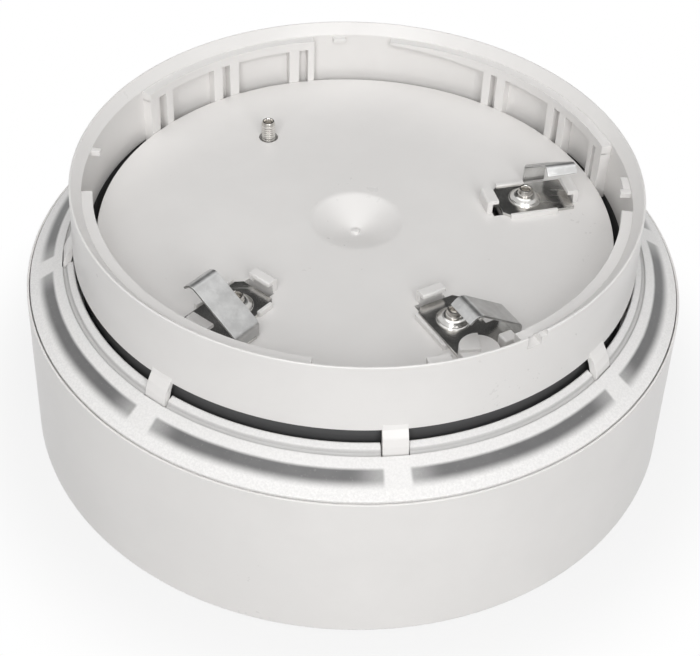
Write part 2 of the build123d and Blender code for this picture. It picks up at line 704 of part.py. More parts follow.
# ---- board and what is on it ----
def main_board():
    """Round circuit board under the deck."""
    board = post(BOARD_R, BOARD_Z, BOARD_TOP)
    for angle in BOARD_POST_ANGLES:
        board -= post(SMALL_SCREW_R + 0.15, BOARD_Z - 1, BOARD_TOP + 1, polar(BOARD_POST_R, angle))
    return board


def controller_chip():
    """Flat chip under the board with a row of legs on each side."""
    size = 9.0
    height = 1.3
    x, y = (-20.0, -20.0)
    top = BOARD_Z - 0.1
    chip = block(x - size / 2, x + size / 2, y - size / 2, y + size / 2, top - height, top)
    chip = chamfer(chip.edges().group_by(Axis.Z)[0], 0.3)
    for side in range(4):
        for leg in range(8):
            along = (leg - 3.5) * 1.0
            foot = block(size / 2 - 0.3, size / 2 + 1.1, along - 0.2, along + 0.2, -0.5, 0)
            chip += Pos(x, y, BOARD_Z) * Rot(0, 0, 90 * side) * foot
    return chip


def capacitor(x, y):
    """Upright can capacitor with a rounded top and a groove near its foot."""
    radius = 4.0
    height = 9.5
    return Pos(x, y, 0) * turned([
        (0, BOARD_TOP), (radius, BOARD_TOP), (radius, BOARD_TOP + 1.2), (radius - 0.35, BOARD_TOP + 1.6),
        (radius, BOARD_TOP + 2.0), (radius, BOARD_TOP + height - 0.5), (radius - 0.5, BOARD_TOP + height),
        (0, BOARD_TOP + height),
    ])


def boost_coil():
    """Drum coil that raises the voltage for the disc."""
    radius = 4.6
    waist = radius - 1.1
    return Pos(28, -15, BOARD_TOP) * turned([
        (0, 0), (radius, 0), (radius, 1), (waist, 1.2), (waist, 5), (radius, 5.2), (radius, 6.2), (0, 6.2),
    ])


def dip_x(index):
    """Middle of a switch lever along the switch block."""
    return DIP_AT[0] + (index - (DIP_COUNT - 1) / 2) * DIP_PITCH


def dip_body():
    """Switch block under the board with a slot for each lever."""
    length, width, height = DIP_SIZE
    x, y = DIP_AT
    body = block(x - length / 2, x + length / 2, y - width / 2, y + width / 2, BOARD_Z - height, BOARD_Z)
    for index in range(DIP_COUNT):
        half = SLIDER_SIZE[0] / 2 + SLIDER_CLEARANCE
        reach = (SLIDER_SIZE[1] + SLIDER_TRAVEL) / 2 + SLIDER_CLEARANCE
        depth = SLIDER_SIZE[2] + SLIDER_CLEARANCE
        body -= block(dip_x(index) - half, dip_x(index) + half, y - reach, y + reach,
                      BOARD_Z - height - 1, BOARD_Z - height + depth)
    return body


def dip_slider(index):
    """One switch lever, at the end of its slot that is nearer the rim."""
    wide, long, deep = SLIDER_SIZE
    x = dip_x(index)
    y = DIP_AT[1] - SLIDER_TRAVEL / 2
    face = BOARD_Z - DIP_SIZE[2]
    return block(x - wide / 2, x + wide / 2, y - long / 2, y + long / 2, face - SLIDER_PROUD, face + deep)


def trimmer_body():
    """Volume control's housing with the bore that its rotor turns in."""
    long, wide, height = TRIMMER_SIZE
    x, y = TRIMMER_AT
    body = block(x - long / 2, x + long / 2, y - wide / 2, y + wide / 2, BOARD_Z - height, BOARD_Z)
    body = chamfer(body.edges().filter_by(Axis.Z), 0.8)
    return body - post(ROTOR_R + ROTOR_CLEARANCE, BOARD_Z - height - 1, BOARD_Z - height + 1.5, TRIMMER_AT)


def trimmer_rotor():
    """Volume control's rotor with a screwdriver slot and an arrow-side nick."""
    low = BOARD_Z - TRIMMER_SIZE[2] - 0.5
    high = BOARD_Z - TRIMMER_SIZE[2] + 1.5 - ROTOR_CLEARANCE
    rotor = post(ROTOR_R, low, high, TRIMMER_AT)
    x, y = TRIMMER_AT
    rotor -= block(x - ROTOR_R - 1, x + ROTOR_R + 1, y - 0.3, y + 0.3, low - 1, low + 0.8)
    return rotor - block(x + 1.2, x + ROTOR_R + 1, y - 0.7, y + 0.7, low - 1, low + 0.4)


def pole_x(pole):
    """Middle of a pole of the terminal block."""
    return (pole - (BLOCK_POLES - 1) / 2) * BLOCK_SIZE[0] / BLOCK_POLES


def terminal_block():
    """Block for the incoming wires, under the middle of the board."""
    length, width, height = BLOCK_SIZE
    low = BOARD_Z - height
    body = block(-length / 2, length / 2, -width / 2, width / 2, low, BOARD_Z)
    body = chamfer(body.edges().filter_by(Axis.X).group_by(Axis.Z)[0], 1.2)
    for pole in range(BLOCK_POLES):
        body -= post(1.9, low - 1, low + 3, (pole_x(pole), 0))
        body -= block(pole_x(pole) - 1.7, pole_x(pole) + 1.7, -width, -width / 2 + 3, low + 4, low + 7.4)
    return body


def block_screw(pole):
    """Slotted screw of one pole."""
    low = BOARD_Z - BLOCK_SIZE[2]
    screw = post(1.8, low + 0.8, low + 3, (pole_x(pole), 0))
    return screw - block(pole_x(pole) - 2, pole_x(pole) + 2, -0.3, 0.3, low, low + 1.5)


def small_screw(length):
    """Small pan-head screw, head down, its head's seat at z = 0."""
    return cross_screw(SMALL_SCREW_R, SMALL_HEAD_R, SMALL_HEAD_HEIGHT, length)


def led_lead():
    """Lead held under the deck from the main board up to the ring board."""
    rise = DECK_UNDER - 4
    path = FilletPolyline(
        (LED_LEAD_BOARD_R, 0, BOARD_TOP), (LED_LEAD_BOARD_R, 0, rise - 3), (LED_LEAD_RING_R, 0, rise),
        (LED_LEAD_RING_R, 0, DECK_TOP), radius=2.5,
    )
    start = Plane(origin=path @ 0, z_dir=path % 0)
    return Rot(0, 0, LED_LEAD_ANGLE) * sweep(start * Circle(LED_LEAD_R), path=path)


# ---- mounting plate ----
def slot(length, half_width, low, high):
    """A straight fixing slot along X."""
    return Pos(0, 0, low) * extrude(SlotOverall(length, 2 * half_width), high - low)


def snap_arm():
    """Arm that stands on the mounting plate and catches over a lug of the drum, at angle 0."""
    top = SNAP_LUG_Z + 4.2
    hook_z = SNAP_LUG_Z + 2.15
    outline = Polyline(
        (SNAP_ARM_R, 0, MOUNT_PLATE_THICKNESS), (SNAP_ARM_R + 1.4, 0, MOUNT_PLATE_THICKNESS),
        (SNAP_ARM_R + 1.4, 0, hook_z), (SNAP_ARM_R + 2.7, 0, hook_z), (SNAP_ARM_R + 2.7, 0, hook_z + 0.5),
        (SNAP_ARM_R + 1.4, 0, top), (SNAP_ARM_R, 0, top), close=True,
    )
    return extrude(make_face(outline), 3.4, both=True, dir=(0, 1, 0))


def mounting_plate():
    """Plate that is screwed to the ceiling: cable opening, fixing slots, stiffening ring and snap arms."""
    thick = MOUNT_PLATE_THICKNESS
    plate = ring(CABLE_OPENING_R, MOUNT_PLATE_R, 0, thick)
    plate += ring(CABLE_OPENING_R, CABLE_OPENING_R + 1.6, thick, thick + 1.0)
    plate += ring(SNAP_ARM_R - 4, SNAP_ARM_R - 2.6, thick, thick + 1.5)
    for side in (-1, 1):
        cut = slot(SLOT_LENGTH, SLOT_HALF_WIDTH, -1, thick + 1)
        plate -= Pos(side * SLOT_SPACING_X / 2, 0, 0) * cut
        plate -= Pos(0, side * SLOT_SPACING_Y / 2, 0) * Rot(0, 0, 90) * cut
    for angle in MOUNT_ARM_ANGLES:
        plate += Rot(0, 0, angle) * snap_arm()
    return plate


# ---- the assembly ----
def assembly():
    """Every node by name, as one solid or a list of separate solids."""
    seat = {name: at_contact(angle) for name, angle in CONTACT_ANGLES.items()}
    spare = Pos(*polar(*SPARE_AT), FLOOR_TOP) * Rot(0, 0, SPARE_AT[1])
    nodes = {
        "mounting_plate": mounting_plate(),
        "body_shell": body_shell(),
        "lens_ring": lens_ring(),
        "reflector_ring": reflector_ring(),
        "led_board": led_board(),
        "leds": leds(),
        "baffle_ring": baffle_ring(),
        "socket_base": socket_base(),
        "lock_plug": seat["b"] * Pos(*PLUG_AT, 0) * lock_plug(),
        "terminal_collars": [frame * terminal_collar() for frame in seat.values()],
        "terminal_screws": [frame * terminal_screw(STUB_HEIGHT) for frame in seat.values()],
        "spare_screw": spare * terminal_screw(SPARE_HEIGHT),
        "wire_clamps": [frame * wire_clamp() for frame in [*seat.values(), spare]],
        "sounder_cup": sounder_cup(),
        "sounder_cap": sounder_cap(),
        "piezo_disc": post(PIEZO_R, PIEZO_Z, PIEZO_Z + PIEZO_THICKNESS),
        "piezo_ceramic": post(CERAMIC_R, PIEZO_Z - CERAMIC_THICKNESS, PIEZO_Z),
        "piezo_clamp": piezo_clamp(),
        "main_board": main_board(),
        "controller_chip": controller_chip(),
        "capacitors": [capacitor(-30, 12), capacitor(-30, -9)],
        "boost_coil": boost_coil(),
        "dip_body": dip_body(),
        "trimmer_body": trimmer_body(),
        "trimmer_rotor": trimmer_rotor(),
        "terminal_block": terminal_block(),
        "block_screws": [block_screw(pole) for pole in range(BLOCK_POLES)],
        "led_lead": led_lead(),
    }
    for name in CONTACT_ANGLES:
        nodes[f"contact_plate_{name}"] = seat[name] * contact_plate(name)
        nodes[f"contact_blade_{name}"] = seat[name] * contact_blade(name)
    for index in range(DIP_COUNT):
        nodes[f"dip_slider_{index + 1}"] = dip_slider(index)
    clamp_under = -FLOOR_THICKNESS - CLAMP_THICKNESS
    nodes["contact_leads"] = [
        frame * post(LEAD_R, BOARD_TOP - FLOOR_TOP, clamp_under, LEAD_AT) for frame in seat.values()
    ]
    nodes["piezo_leads"] = [
        post(PIEZO_LEAD_R, BOARD_TOP, top, (x, 0))
        for x, top in zip(PIEZO_LEADS_AT, (PIEZO_Z - CERAMIC_THICKNESS, PIEZO_Z))
    ]
    nodes["board_screws"] = [
        Pos(*polar(BOARD_POST_R, angle), BOARD_Z) * small_screw(8) for angle in BOARD_POST_ANGLES
    ]
    nodes["socket_screws"] = [
        Pos(*polar(SOCKET_POST_R, angle), DECK_UNDER) * small_screw(9) for angle in SOCKET_POST_ANGLES
    ]
    flange_top = DECK_TOP + FLANGE_THICKNESS
    nodes["sounder_screws"] = [
        Pos(*place, flange_top) * Rot(180, 0, 0) * small_screw(FLANGE_THICKNESS + DECK_THICKNESS)
        for place in FLANGE_SCREW_PLACES
    ]
    return nodes


os.makedirs("parts", exist_ok=True)
for node, shape in assembly().items():
    solids = shape if isinstance(shape, list) else [shape]
    loose = [solid for piece in solids for solid in piece.solids()]
    export_step(Compound(children=loose) if len(loose) > 1 else loose[0], f"parts/{node}.step")
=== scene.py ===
"""Detector base with sounder and beacon: the finished surfaces of every piece, built on the packed frame.

Sizes are in millimetres and angles in degrees, counter-clockwise from +X, until a helper turns them into
Blender's metres and radians. The drum's axis is Z, and the detector side faces +Z.
"""
import math

import bmesh
import bpy
from bpy.props import FloatProperty, FloatVectorProperty, IntProperty, PointerProperty
from mathutils import Matrix, Vector


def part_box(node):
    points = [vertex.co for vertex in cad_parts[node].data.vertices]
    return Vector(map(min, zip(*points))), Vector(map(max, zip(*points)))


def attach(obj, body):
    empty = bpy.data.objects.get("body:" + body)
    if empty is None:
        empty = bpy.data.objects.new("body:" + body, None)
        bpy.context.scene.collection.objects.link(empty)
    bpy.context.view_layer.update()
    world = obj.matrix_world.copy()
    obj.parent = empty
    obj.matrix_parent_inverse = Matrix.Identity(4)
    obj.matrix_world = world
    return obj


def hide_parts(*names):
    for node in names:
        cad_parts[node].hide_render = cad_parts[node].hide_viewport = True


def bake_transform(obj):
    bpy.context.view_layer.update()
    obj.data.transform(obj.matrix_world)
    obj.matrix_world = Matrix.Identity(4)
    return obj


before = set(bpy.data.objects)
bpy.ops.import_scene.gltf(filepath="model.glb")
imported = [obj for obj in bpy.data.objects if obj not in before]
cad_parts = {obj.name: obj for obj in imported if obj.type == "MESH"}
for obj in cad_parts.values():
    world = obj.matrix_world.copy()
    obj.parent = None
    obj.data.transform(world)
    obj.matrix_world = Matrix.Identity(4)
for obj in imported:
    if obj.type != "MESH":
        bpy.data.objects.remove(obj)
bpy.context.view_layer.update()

bl_info = {
    "name": "Detector base sounder-beacon",
    "version": (1, 0, 0),
    "blender": (4, 5, 0),
    "location": "3D View > Sidebar > Sounder",
    "description": "Builds the finished pieces of a detector base with sounder and beacon",
    "category": "Add Mesh",
}

MM = 0.001
HOUSING = "housing"
CONTACT_RADIUS = 31.8
CONTACT_ANGLES = {"a": -128.2, "b": -58.0, "c": 15.7}
SCREW_SHIFTS = {"a": (0.0, 0.25), "b": (-0.43, 0.37), "c": (-0.03, -0.78)}
SEAT_SHIFTS = {"a": (0.0, 0.0), "b": (0.0, 0.0), "c": (-0.03, -0.78)}
PLATE_TOP = 0.6
SPARE_ANGLE, SPARE_RADIUS = 125.5, 30.24
ROUND_STEPS = 240
BEND_STEPS = 5


def cad_top(node):
    """Height of a CAD node's highest point, in millimetres."""
    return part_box(node)[1].z / MM


def cad_radius(node):
    """Largest radius of a round CAD node, in millimetres."""
    low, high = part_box(node)
    return (high.x - low.x) / 2 / MM


# ---------------------------------------------------------------- sizes that a user may change
class HousingSettings(bpy.types.PropertyGroup):
    """Drum and socket."""
    foot_radius: FloatProperty(name="Foot radius", description="Radius of the drum at the ceiling, mm",
                               default=60.5, min=40, max=90)
    top_radius: FloatProperty(name="Top radius", description="Radius of the drum at the beacon, mm",
                              default=59.55, min=40, max=90)
    height: FloatProperty(name="Drum height", description="Height of the drum's wall, mm",
                          default=cad_top("body_shell"), min=10, max=80)
    wall: FloatProperty(name="Wall", description="Thickness of the drum's wall, mm",
                        default=2.4, min=1, max=5)
    edge_round: FloatProperty(name="Edge rounding", description="Rounding of moulded edges, mm",
                              default=0.25, min=0.05, max=1)
    colour: FloatVectorProperty(name="Plastic", description="Colour of the housing's plastic",
                                subtype="COLOR", size=3, default=(0.80, 0.785, 0.77), min=0, max=1)


class SocketSettings(bpy.types.PropertyGroup):
    """Round socket that the detector twists into."""
    top: FloatProperty(name="Top", description="Height of the socket's rim, mm",
                       default=cad_top("socket_base"), min=20, max=90)
    bore: FloatProperty(name="Bore radius", description="Radius inside the socket's wall, mm",
                        default=48.2, min=30, max=80)
    ledge_bore: FloatProperty(name="Ledge radius", description="Radius inside the ledges, mm",
                              default=46.3, min=30, max=80)
    floor_depth: FloatProperty(name="Floor depth", description="Depth of the floor below the rim, mm",
                               default=11.08, min=4, max=30)
    tab_width: FloatProperty(name="Tab width", description="Width of the tabs over the lens, mm",
                             default=4.2, min=1, max=10)


class BeaconSettings(bpy.types.PropertyGroup):
    """Translucent ring and the lamps behind it."""
    arcs: IntProperty(name="Lamp windows", description="Number of dark windows behind the lens",
                      default=8, min=1, max=16)
    break_angle: FloatProperty(name="Break angle", description="Angle of one gap between windows, degrees",
                               default=-81.5)
    colour: FloatVectorProperty(name="Lens", description="Colour of the frosted lens",
                                subtype="COLOR", size=3, default=(0.83, 0.82, 0.81), min=0, max=1)
    window: FloatVectorProperty(name="Window", description="Colour of a window seen through the lens",
                                subtype="COLOR", size=3, default=(0.115, 0.114, 0.115), min=0, max=1)


class MetalSettings(bpy.types.PropertyGroup):
    """Spring contacts and screws."""
    leaf: FloatProperty(name="Leaf thickness", description="Thickness of the spring blades, mm",
                        default=0.42, min=0.1, max=1)
    plate: FloatVectorProperty(name="Plate", description="Colour of the plated steel",
                               subtype="COLOR", size=3, default=(0.70, 0.69, 0.67), min=0, max=1)
    spring: FloatVectorProperty(name="Spring", description="Colour of the spring blades",
                                subtype="COLOR", size=3, default=(0.58, 0.58, 0.575), min=0, max=1)


class StageSettings(bpy.types.PropertyGroup):
    """Camera, lamps and floor."""
    lens: FloatProperty(name="Focal length", description="Focal length on a 36 mm sensor, mm", default=75.58)
    tilt: FloatProperty(name="Tilt", description="How far the camera looks down, degrees", default=42.30)
    pan: FloatProperty(name="Pan", description="How far the camera turns to its left, degrees", default=0.08)
    roll: FloatProperty(name="Roll", description="How far the camera rolls, degrees", default=2.40)
    key: FloatProperty(name="Key", description="Power of the large lamp, watts", default=4.2, min=0)
    world: FloatProperty(name="World", description="Strength of the even light", default=0.29, min=0)


# ---------------------------------------------------------------- modelling helpers
def deselect():
    """Leaves edit mode and deselects every object."""
    if bpy.context.object and bpy.context.object.mode != "OBJECT":
        bpy.ops.object.mode_set(mode="OBJECT")
    bpy.ops.object.select_all(action="DESELECT")


def only(piece):
    """Makes a piece the one selected and active object."""
    deselect()
    piece.select_set(True)
    bpy.context.view_layer.objects.active = piece
    return piece


def named(name):
    """Names the new object and puts its place into its mesh."""
    piece = bpy.context.object
    piece.name = name
    piece.data.name = name
    bpy.ops.object.transform_apply(location=True, rotation=True, scale=True)
    return piece


def edit(piece):
    """Enters edit mode with all of a piece selected."""
    only(piece)
    bpy.ops.object.mode_set(mode="EDIT")
    bpy.ops.mesh.select_all(action="SELECT")


def done():
    """Leaves edit mode."""
    bpy.ops.object.mode_set(mode="OBJECT")


def pick(piece, test, kind="VERT"):
    """In edit mode, selects the vertices or edges whose middle, in millimetres, passes a test."""
    bpy.ops.mesh.select_mode(type=kind)
    bpy.ops.mesh.select_all(action="DESELECT")
    mesh = bmesh.from_edit_mesh(piece.data)
    for vert in mesh.verts if kind == "VERT" else ():
        vert.select = test(vert.co / MM)
    for edge in mesh.edges if kind == "EDGE" else ():
        edge.select = test((edge.verts[0].co + edge.verts[1].co) / 2 / MM)
    mesh.select_flush_mode()
    bmesh.update_edit_mesh(piece.data)


def rounded(corners, steps=BEND_STEPS):
    """Points of an outline: each corner is (u, v) or (u, v, radius), and a radius rounds it with an arc."""
    points = []
    count = len(corners)
    for index, corner in enumerate(corners):
        here = Vector(corner[:2])
        radius = corner[2] if len(corner) > 2 else 0
        if not radius:
            points.append(tuple(here))
            continue
        before = Vector(corners[index - 1][:2]) - here
        after = Vector(corners[(index + 1) % count][:2]) - here
        half = before.angle(after) / 2
        reach = radius / math.tan(half)
        middle = here + (before.normalized() + after.normalized()).normalized() * (radius / math.sin(half))
        start = here + before.normalized() * reach - middle
        turn = (here + after.normalized() * reach - middle).angle_signed(start)
        for step in range(steps + 1):
            angle = turn * step / steps
            spun = Matrix.Rotation(angle, 2) @ start
            points.append(tuple(middle + spun))
    return points


def outline(name, points, closed=True):
    """A chain of vertices through (x, y, z) points, drawn by extruding one vertex from point to point."""
    deselect()
    bpy.ops.mesh.primitive_plane_add(size=MM)
    piece = named(name)
    edit(piece)
    bpy.ops.mesh.select_mode(type="VERT")
    bpy.ops.mesh.select_all(action="SELECT")
    bpy.ops.mesh.merge(type="CENTER")
    bpy.ops.transform.translate(value=Vector(points[0]) * MM)
    for here, there in zip(points, points[1:]):
        step = (Vector(there) - Vector(here)) * MM
        bpy.ops.mesh.extrude_region_move(TRANSFORM_OT_translate={"value": step})
    if closed:
        pick(piece, lambda p: (p - Vector(points[0])).length < 1e-3 or (p - Vector(points[-1])).length < 1e-3)
        bpy.ops.mesh.edge_face_add()
    bpy.ops.mesh.select_all(action="SELECT")
    return piece


def tidy_shell(piece):
    """Merges doubles, closes open ends and turns the faces outwards, then leaves edit mode."""
    bpy.ops.mesh.select_mode(type="VERT")
    bpy.ops.mesh.select_all(action="SELECT")
    bpy.ops.mesh.remove_doubles(threshold=1e-7)
    bpy.ops.mesh.fill_holes(sides=0)
    bpy.ops.mesh.select_all(action="SELECT")
    bpy.ops.mesh.delete_loose()
    bpy.ops.mesh.select_all(action="SELECT")
    bpy.ops.mesh.normals_make_consistent(inside=False)
    done()
    return piece


def turned(name, points, start=0.0, end=360.0, steps=None):
    """A shape spun about Z from a closed outline of (radius, height) points."""
    piece = outline(name, [(radius, 0, height) for radius, height in points])
    if start:
        bpy.ops.transform.rotate(value=-math.radians(start), orient_axis="Z", center_override=(0, 0, 0))
        place_exactly(piece, start, points)
    sweep = end - start
    count = steps or max(2, round(ROUND_STEPS * sweep / 360))
    bpy.ops.mesh.spin(steps=count, angle=-math.radians(sweep), center=(0, 0, 0), axis=(0, 0, 1))
    return tidy_shell(piece)


def place_exactly(piece, start, points):
    """Checks that an outline stands at its start angle."""
    mesh = bmesh.from_edit_mesh(piece.data)
    mesh.verts.ensure_lookup_table()
    turn = Matrix.Rotation(math.radians(start), 3, "Z")
    for vert, (radius, height) in zip(mesh.verts, points):
        wanted = turn @ (Vector((radius, 0, height)) * MM)
        if (vert.co - wanted).length > 1e-6:
            vert.co = wanted
    bmesh.update_edit_mesh(piece.data)


def prism(name, points, depth):
    """A closed (x, z) outline pushed along Y, half of the depth each way."""
    piece = outline(name, [(x, -depth / 2, z) for x, z in points])
    bpy.ops.mesh.edge_face_add()
    bpy.ops.mesh.extrude_region_move(TRANSFORM_OT_translate={"value": (0, depth * MM, 0)})
    return tidy_shell(piece)


def block(name, x_range, y_range, z_range):
    """A box between three pairs of faces, in millimetres."""
    deselect()
    middle = [(low + high) / 2 * MM for low, high in (x_range, y_range, z_range)]
    size = [(high - low) * MM for low, high in (x_range, y_range, z_range)]
    bpy.ops.mesh.primitive_cube_add(size=1, location=middle, scale=size)
    return named(name)


def drum(name, radius, z_range, at=(0, 0), steps=48):
    """An upright round bar."""
    deselect()
    low, high = z_range
    place = (at[0] * MM, at[1] * MM, (low + high) / 2 * MM)
    bpy.ops.mesh.primitive_cylinder_add(vertices=steps, radius=radius * MM, depth=(high - low) * MM,
        location=place)
    return named(name)


def move(piece, matrix):
    """Moves a piece's mesh, so that its object stays at the origin."""
    piece.data.transform(matrix)
    piece.data.update()
    return piece


def turn_by(angle):
    """A turn about the drum's axis."""
    return Matrix.Rotation(math.radians(angle), 4, "Z")


def copy(piece, name, matrix):
    """A copy with its own mesh, moved."""
    twin = piece.copy()
    twin.data = piece.data.copy()
    twin.name = name
    bpy.context.scene.collection.objects.link(twin)
    return move(twin, matrix)


def modify(piece, kind, **settings):
    """Adds a modifier, sets it up and applies it."""
    only(piece)
    modifier = piece.modifiers.new(kind.title(), kind)
    for key, value in settings.items():
        setattr(modifier, key, value)
    bpy.ops.object.modifier_apply(modifier=modifier.name)
    return piece


def soften(piece, width=0.12, segments=2, angle=35):
    """Rounds the sharp edges of a piece."""
    return modify(piece, "BEVEL", width=width * MM, segments=segments, limit_method="ANGLE",
                  angle_limit=math.radians(angle), use_clamp_overlap=True, harden_normals=False)


def cut(piece, tools):
    """Cuts tools out of a piece."""
    return combine(piece, tools, "DIFFERENCE")


def combine(piece, tools, operation):
    """Adds tools to a piece or cuts them out of it."""
    for tool in tools:
        modify(piece, "BOOLEAN", operation=operation, solver="EXACT", object=tool)
        if not piece.data.polygons:
            raise RuntimeError(f"{piece.name} was lost to {tool.name}")
        bpy.data.objects.remove(tool)
    return piece


def joined(name, parts):
    """Several closed shells as one object."""
    deselect()
    for part in parts:
        part.select_set(True)
    bpy.context.view_layer.objects.active = parts[0]
    bpy.ops.object.join()
    piece = bpy.context.object
    piece.name = name
    piece.data.name = name
    return piece


def warp(piece, change):
    """Moves each vertex of a piece to where a function of its place, in millimetres, says."""
    for vert in piece.data.vertices:
        vert.co = change(vert.co / MM) * MM
    piece.data.update()
    return piece


def smooth(piece, angle=32):
    """Shades a piece smooth up to an angle between faces, with its broad faces kept flat."""
    only(piece)
    bpy.ops.object.shade_smooth_by_angle(angle=math.radians(angle))
    return modify(piece, "WEIGHTED_NORMAL", keep_sharp=True, weight=90)


def hand_over(piece, body, nodes, material, angle=32):
    """Finishes a piece: it rides on its body, stands for its CAD nodes and takes its material."""
    smooth(piece, angle)
    piece.data.materials.clear()
    piece.data.materials.append(material)
    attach(piece, body)
    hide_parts(*nodes)
    return piece


def dress(nodes, material):
    """Gives CAD nodes whose shape stays a detailed material."""
    for name in nodes:
        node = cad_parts[name]
        node.data.materials.clear()
        node.data.materials.append(material)


# ---------------------------------------------------------------- shader helpers
class Wire:
    """A shader socket in a Python expression: each operator adds a Math node."""

    def __init__(self, finish, socket):
        self.finish = finish
        self.socket = socket

    def math(self, operation, *others):
        inputs = {index: value for index, value in enumerate((self, *others))}
        return self.finish.node("ShaderNodeMath", {"operation": operation}, inputs)

    def __add__(self, other):
        return self.math("ADD", other)

    __radd__ = __add__

    def __mul__(self, other):
        return self.math("MULTIPLY", other)

    __rmul__ = __mul__

    def __sub__(self, other):
        return self.math("SUBTRACT", other)

    def __rsub__(self, other):
        return (self * -1) + other

    def __truediv__(self, other):
        return self.math("DIVIDE", other)


class Finish:
    """A material being made: node() makes any node and returns one of its outputs as a Wire."""

    def __init__(self, name):
        self.material = bpy.data.materials.new(name)
        self.material.use_nodes = True
        self.tree = self.material.node_tree
        self.tree.nodes.clear()

    def node(self, kind, settings=None, inputs=None, out=0):
        made = self.tree.nodes.new(kind)
        for key, value in (settings or {}).items():
            setattr(made, key, value)
        for key, value in (inputs or {}).items():
            if isinstance(value, Wire):
                self.tree.links.new(value.socket, made.inputs[key])
            else:
                made.inputs[key].default_value = value
        return Wire(self, made.outputs[out]) if made.outputs else None

    def seen(self):
        """1 for rays from the camera and for rays that metal or glass sends on."""
        rays = [self.node("ShaderNodeLightPath", out=f"Is {kind} Ray") for kind in ("Camera", "Glossy",
            "Transmission")]
        return rays[0].math("MAXIMUM", rays[1]).math("MAXIMUM", rays[2])

    def place(self):
        """Object coordinates, in metres."""
        return self.node("ShaderNodeTexCoord", out="Object")

    def stretched(self, scale):
        """Object coordinates scaled along each axis."""
        return self.node("ShaderNodeMapping", None, {"Vector": self.place(), "Scale": scale})

    def noise(self, scale, detail=3.0, roughness=0.5, vector=None):
        inputs = {"Scale": scale, "Detail": detail, "Roughness": roughness, "Vector": vector or self.place()}
        return self.node("ShaderNodeTexNoise", None, inputs)

    def cells(self, scale):
        inputs = {"Scale": scale, "Vector": self.place()}
        return self.node("ShaderNodeTexVoronoi", {"feature": "F1"}, inputs, "Distance")

    def step(self, value, low, high, start=0.0, end=1.0):
        """A smooth step of a value from start to end."""
        inputs = {"Value": value, "From Min": low, "From Max": high, "To Min": start, "To Max": end}
        return self.node("ShaderNodeMapRange", {"interpolation_type": "SMOOTHSTEP"}, inputs)

    def blend(self, factor, first, second):
        """A mix of two colours."""
        inputs = {0: factor}
        for index, colour in ((6, first), (7, second)):
            inputs[index] = colour if isinstance(colour, Wire) else (*colour[:3], 1.0)
        return self.node("ShaderNodeMix", {"data_type": "RGBA"}, inputs, 2)

    def bump(self, height, distance, strength=1.0, under=None):
        """A bump of a height; distance is in millimetres."""
        inputs = {"Height": height, "Distance": distance * MM, "Strength": strength}
        if under is not None:
            inputs["Normal"] = under
        return self.node("ShaderNodeBump", None, inputs)

    def surface(self, **inputs):
        """The surface and the material's output; a double underscore stands for a space."""
        inputs = {key.replace("__", " "): value for key, value in inputs.items()}
        for key, value in inputs.items():
            if isinstance(value, (tuple, list, Vector)) or hasattr(value, "r"):
                inputs[key] = (*tuple(value)[:3], 1.0)
        shader = self.node("ShaderNodeBsdfPrincipled", None, inputs)
        self.node("ShaderNodeOutputMaterial", None, {"Surface": shader})
        return self.material


def shade(colour, factor):
    """A colour made lighter or darker."""
    return tuple(min(1.0, channel * factor) for channel in tuple(colour)[:3])


def once(make):
    """Keeps a material that has been made, so that pieces share it."""
    def get():
        name = f"finish_{make.__name__}"
        return bpy.data.materials.get(name) or make(name)
    return get


# ---------------------------------------------------------------- materials
def moulded(name, colour, roughness, grain=0.004):
    """Moulded plastic: faint clouding, a fine grain, scuffs and a few specks of dust."""
    finish = Finish(name)
    clouds = finish.noise(38.0, 4.0, 0.6)
    fine = finish.noise(900.0, 2.0, 0.5)
    scuffs = finish.noise(150.0, 6.0, 0.75, finish.stretched((1.0, 1.0, 5.0)))
    scuffed = finish.step(scuffs, 0.60, 0.74)
    specks = finish.step(finish.cells(110.0), 0.035, 0.055, 1.0, 0.0)
    sparse = finish.step(finish.noise(45.0, 1.0), 0.60, 0.66)
    base = finish.blend(finish.step(clouds, 0.35, 0.7), shade(colour, 0.975), shade(colour, 1.015))
    base = finish.blend(scuffed * 0.25, base, shade(colour, 0.95))
    base = finish.blend(specks * sparse * 0.35, base, shade(colour, 0.55))
    gloss = clouds * 0.08 + fine * 0.05 + scuffed * 0.08 + (roughness - 0.07)
    grained = finish.bump(fine, grain, 0.6)
    waves = finish.bump(clouds, 0.02, 0.25, grained)
    return finish.surface(Base__Color=base, Roughness=gloss, Normal=waves, IOR=1.5)


@once
def white_plastic(name):
    """Satin white plastic of the housing."""
    return moulded(name, bpy.context.scene.sounder_housing.colour, 0.30)


PLASTICS = {  # colour, roughness, grain
    "matt_white": ((0.78, 0.78, 0.77), 0.55, 0.004), "black_plastic": ((0.075, 0.075, 0.076), 0.55, 0.004),
    "blue_plastic": ((0.03, 0.11, 0.38), 0.42, 0.004), "green_plastic": ((0.05, 0.26, 0.13), 0.45, 0.004),
    "red_sleeve": ((0.38, 0.03, 0.03), 0.5, 0.004), "ceramic": ((0.72, 0.70, 0.64), 0.6, 0.01),
}
METALS = {  # colour, roughness, streaks, smudges, scratches
    "screw_steel": ((0.68, 0.66, 0.63), 0.22, 0.15, 0.15, 0.2), "copper": ((0.78, 0.42, 0.26), 0.3, 0.3,
    0.15, 0.35),
    "brass": ((0.76, 0.58, 0.28), 0.28, 0.3, 0.15, 0.35),
    "can_aluminium": ((0.72, 0.73, 0.75), 0.3, 0.5, 0.1, 0.35),
}
BOARDS = {  # mask, track
    "green_board": ((0.012, 0.11, 0.045), (0.03, 0.22, 0.10)),
    "black_board": ((0.012, 0.013, 0.013), (0.03, 0.032, 0.032)),
}


